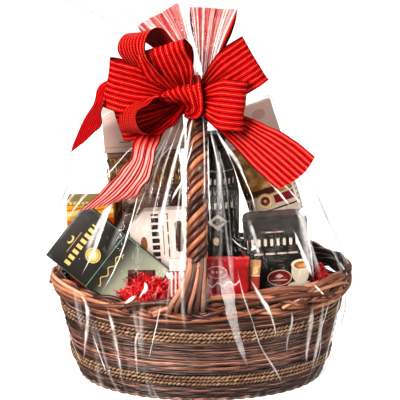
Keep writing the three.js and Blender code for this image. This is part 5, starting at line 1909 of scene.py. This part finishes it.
# Bright folds that the photograph shows: pixels of its frame with the width of the fold in
# millimetres at each, and how milky its middle and its edges are
# Their milky white is partly painted highlight on the creases.
VIEW_FOLDS = [
    ([(150, 152, 2), (131, 170, 3), (114, 199, 5), (104, 225, 4), (94, 251, 7), (87, 265, 3.5),
      (80, 279, 2)], 1.0, 0),
    ([(192, 128, 2), (168, 150, 2), (143, 180, 3), (134, 212, 2.5), (125, 243, 4), (118, 262, 2.5),
      (107, 284, 3), (97, 299, 1.5)], 0.9, 0),
    ([(196, 132, 2), (188, 160, 2.5), (183, 180, 4), (176, 192, 5), (170, 205, 2)], 1.0, 0),
    ([(187, 134, 3), (185, 150, 4), (186, 176, 3), (188, 200, 1.5)], 0.5, 0.1),
    ([(166, 272, 1.5), (170, 276, 8), (174, 275, 4)], 1.0, 0.9),
    ([(144, 280, 1.5), (146, 288, 6), (142, 294, 3), (138, 300, 1)], 1.0, 0.4),
    ([(137, 295, 1.5), (130, 300, 5), (124, 304, 1)], 1.0, 0.7),
    ([(186, 224, 2), (184, 250, 4), (182, 262, 8), (181, 272, 6), (184, 286, 2)], 0.55, 0.25),
    ([(76, 287, 4), (86, 303, 8), (88, 315, 9), (86, 340, 6), (83, 366, 1)], 0.8, 0.1),
    ([(106, 302, 4), (113, 327, 7), (118, 352, 6), (123, 381, 2)], 0.75, 0.1),
    ([(91, 330, 1.5), (99, 352, 3.5), (109, 379, 2)], 0.9, 0),
    ([(142, 323, 1.5), (136, 340, 4), (136, 350, 5), (138, 383, 2)], 0.75, 0),
    ([(162, 300, 3), (157, 324, 2.5), (152, 345, 2), (148, 362, 1)], 0.95, 0),
    ([(58, 303, 2), (66, 322, 3), (76, 350, 2.5), (84, 368, 1.5)], 0.9, 0),
    ([(212, 122, 2), (218, 134, 4), (226, 147, 7), (236, 160, 9), (246, 182, 3), (253, 200, 2.5),
      (257, 220, 1.5)], 1.0, 0.3),
    ([(209, 124, 4), (212, 140, 3), (218, 165, 2), (222, 186, 2)], 0.85, 0),
    ([(208, 128, 2), (208, 160, 3), (209, 200, 3), (211, 240, 2)], 0.8, 0),
    ([(246, 158, 2), (262, 174, 3), (274, 187, 5), (294, 211, 4)], 1.0, 0.2),
    ([(268, 172, 2), (284, 185, 4), (305, 209, 4)], 1.0, 0.1),
    ([(298, 212, 3), (303, 212, 11), (307, 215, 4)], 1.0, 0.7),
    ([(306, 217, 3), (309, 243, 4), (311, 256, 4), (314, 282, 3)], 0.85, 0.1),
    ([(292, 226, 2), (300, 247, 6), (307, 264, 8), (314, 280, 4)], 0.9, 0.2),
    ([(307, 213, 2), (328, 245, 2), (348, 278, 2)], 0.8, 0),
    ([(339, 260, 2), (344, 270, 5), (348, 277, 4)], 0.9, 0.2),
    ([(247, 215, 3), (255, 239, 9), (260, 263, 4)], 0.55, 0.2),
    ([(229, 236, 1.5), (240, 246, 2), (251, 251, 2)], 0.8, 0),
    ([(250, 251, 1.5), (254, 248, 5), (256, 245, 1)], 1.0, 0.5),
    ([(216, 250, 8), (228, 292, 19), (231, 311, 16), (239, 342, 9), (252, 378, 1.5)], 0.42, 0.36),
    ([(235, 260, 2), (244, 298, 3), (252, 320, 2), (260, 345, 3), (279, 377, 4), (283, 389, 1)], 0.7, 0),
    ([(248, 276, 2), (261, 298, 7), (270, 313, 5), (275, 330, 2), (276, 340, 1)], 0.9, 0.15),
    ([(291, 308, 3), (292, 321, 5), (287, 342, 4), (287, 356, 2)], 0.6, 0.1),
    ([(313, 301, 7), (310, 330, 9), (307, 350, 5), (306, 368, 2)], 0.62, 0.3),
    ([(324, 295, 4), (320, 330, 9), (318, 342, 9), (310, 377, 5)], 0.66, 0.3),
    ([(331, 294, 3), (325, 316, 3), (321, 330, 3), (320, 348, 2), (312, 378, 2)], 1.0, 0),
    ([(341, 289, 5), (336, 315, 4), (328, 348, 5), (322, 372, 3)], 0.9, 0.3),
    ([(313, 284, 3), (319, 290, 4), (325, 296, 2)], 0.95, 0.2),
    ([(104, 104, 2), (84, 155, 3), (70, 190, 3), (56, 228, 2)], 0.8, 0),
    ([(176, 130, 1.5), (152, 176, 2), (140, 205, 2.5), (128, 238, 1.5)], 0.5, 0),
    ([(180, 128, 1.5), (166, 160, 2), (160, 180, 2)], 0.45, 0),
    ([(160, 128, 2), (132, 148, 2), (110, 172, 3), (82, 200, 2), (66, 222, 2)], 0.85, 0),
]


def view_ray(x, y):
    """Where the camera stands, and the way that it sees a pixel of the photograph."""
    camera = bpy.context.scene.camera
    reach = SENSOR_WIDTH / VIEW_LENS / PHOTO_SIDE
    across, up = (x - PHOTO_SIDE / 2) * reach, (PHOTO_SIDE / 2 - y) * reach
    way = camera.rotation_euler.to_matrix() @ Vector((across, up, -1))
    return camera.location.copy(), way.normalized()


def add_fold(shape, points, width, middle, edge):
    """A low fold that stands on the film, pointed at both ends, from its places and their normals."""
    points = np.array(points)
    path, normal = points[:, :3], unit(points[:, 3:])
    run = np.linspace(0, 1, len(path))
    taper = np.minimum(1, np.minimum(run, 1 - run) * 5)[:, None]
    rough = np.array([noise.noise(Vector((i * 0.31, path[0, 0], path[0, 2]))) for i in range(len(path))])
    width = width * (0.93 + 0.3 * rough)
    side = unit(np.cross(normal, np.gradient(path, axis=0))) * (width[:, None] / 2) * (0.15 + 0.85 * taper)
    rise = normal * np.minimum(0.35 + 0.2 * width, 1.2)[:, None] * (0.3 + 0.7 * taper)
    rings = np.stack([path - side + normal * 0.1, path - side * 0.35 + rise, path + side * 0.35 + rise,
                      path + side + normal * 0.1, path + normal * 0.02], 1)
    # Milky white along the fold, partly painted highlight, patchy and fading to its ends.
    patchy = np.clip(0.95 - 0.5 * np.roll(rough, 5), 0.6, 1)[:, None]
    milk = taper * patchy * np.array([edge, middle, middle, edge, edge])
    loft(shape, rings, depth=milk.ravel())


def view_folds(shape, tree):
    """The folds that the photograph shows, each laid on the film where the camera sees it."""
    draw = random.Random(95)
    for pixels, middle, edge in VIEW_FOLDS:
        points, widths = [], []
        for x, y, width in spline(pixels, 34):
            place, way = view_ray(x + draw.uniform(-0.2, 0.2), y)
            hit, normal, _, _ = tree.ray_cast(place, way)
            if hit:
                points.append((*(hit / MM), *normal))
                widths.append(width)
        if len(points) > 5:
            add_fold(shape, points, np.array(widths), middle, edge)


def far_folds(shape, tree):
    """The same kind of folds over the back and sides, drawn at random from the neck down to the foot."""
    draw = random.Random(97)
    for k in range(FAR_FOLDS):
        heading = draw.uniform(8, 172) * DEGREE
        starts, ends = UPPER_FOLDS if k % 2 else LOWER_FOLDS
        high, low = draw.uniform(*starts), draw.uniform(*ends)
        drift = draw.gauss(0, 0.16)
        width = draw.uniform(1.5, 6) * (1 if draw.random() < 0.8 else 2)
        points = []
        for share in np.linspace(0, 1, 30):
            turn = heading + drift * share + 0.02 * math.sin(9 * share + k)
            hit, normal = cast_inwards(tree, turn, high + (low - high) * share)
            points.append((*hit, *normal))
        widths = width * (0.6 + 0.4 * np.sin(np.linspace(0.5, 5, 30) + k))
        middle, edge = draw.uniform(0.5, 1), draw.choice([0, 0, 0.2, 0.4])
        add_fold(shape, points, widths, middle, edge)


def film_finish(name, crackle_depth):
    """Clear crackling film: nearly invisible flats, milky creases that are partly painted highlight with a
    faint painted glow, and sharp gloss.
    """
    fin = Finish(name)
    milk = fin.mark("depth", out="Fac")
    pull = fin.noise(fin.stretch(fin.place(), (1, 1, 0.25)), 60, 3, 0.6)
    crackle = fin.noise(fin.place(), 24, 4, 0.65)
    patchy_highlight = fin.step(fin.noise(fin.place(), 110, 3, 0.7), 0.3, 0.6, to=(0.55, 1.0))
    # The milky white, partly painted highlight, is broken into patches.
    haze = fin.step(milk, 0.05, 1.0, to=(0.0, 0.95)) * patchy_highlight + fin.step(pull, 0.66, 0.84, to=(0.0, 0.12))
    return clear_film(fin, fin.math("MINIMUM", haze, 0.95), "#FFFFFF", 0.05,
                      fin.bump(crackle * 0.65 + pull * 0.35, crackle_depth), 0.85, 0.28)


def add_film():
    tree = ray_tree(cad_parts["film_wrap"].data)
    clear = film_finish("clear cellophane", 3.5)
    dress(film_shell("film_tent", *film_tent(tree)), clear, "clear_film", "film_wrap", angle=35)
    dress(film_shell("film_ruffle", *neck_and_ruffle()), clear, "clear_film", "film_wrap", angle=35)
    shape = Shape()
    view_folds(shape, tree)
    far_folds(shape, tree)
    dress(shape.piece("film_folds"), clear, "clear_film", "film_wrap", angle=50)


add_film()
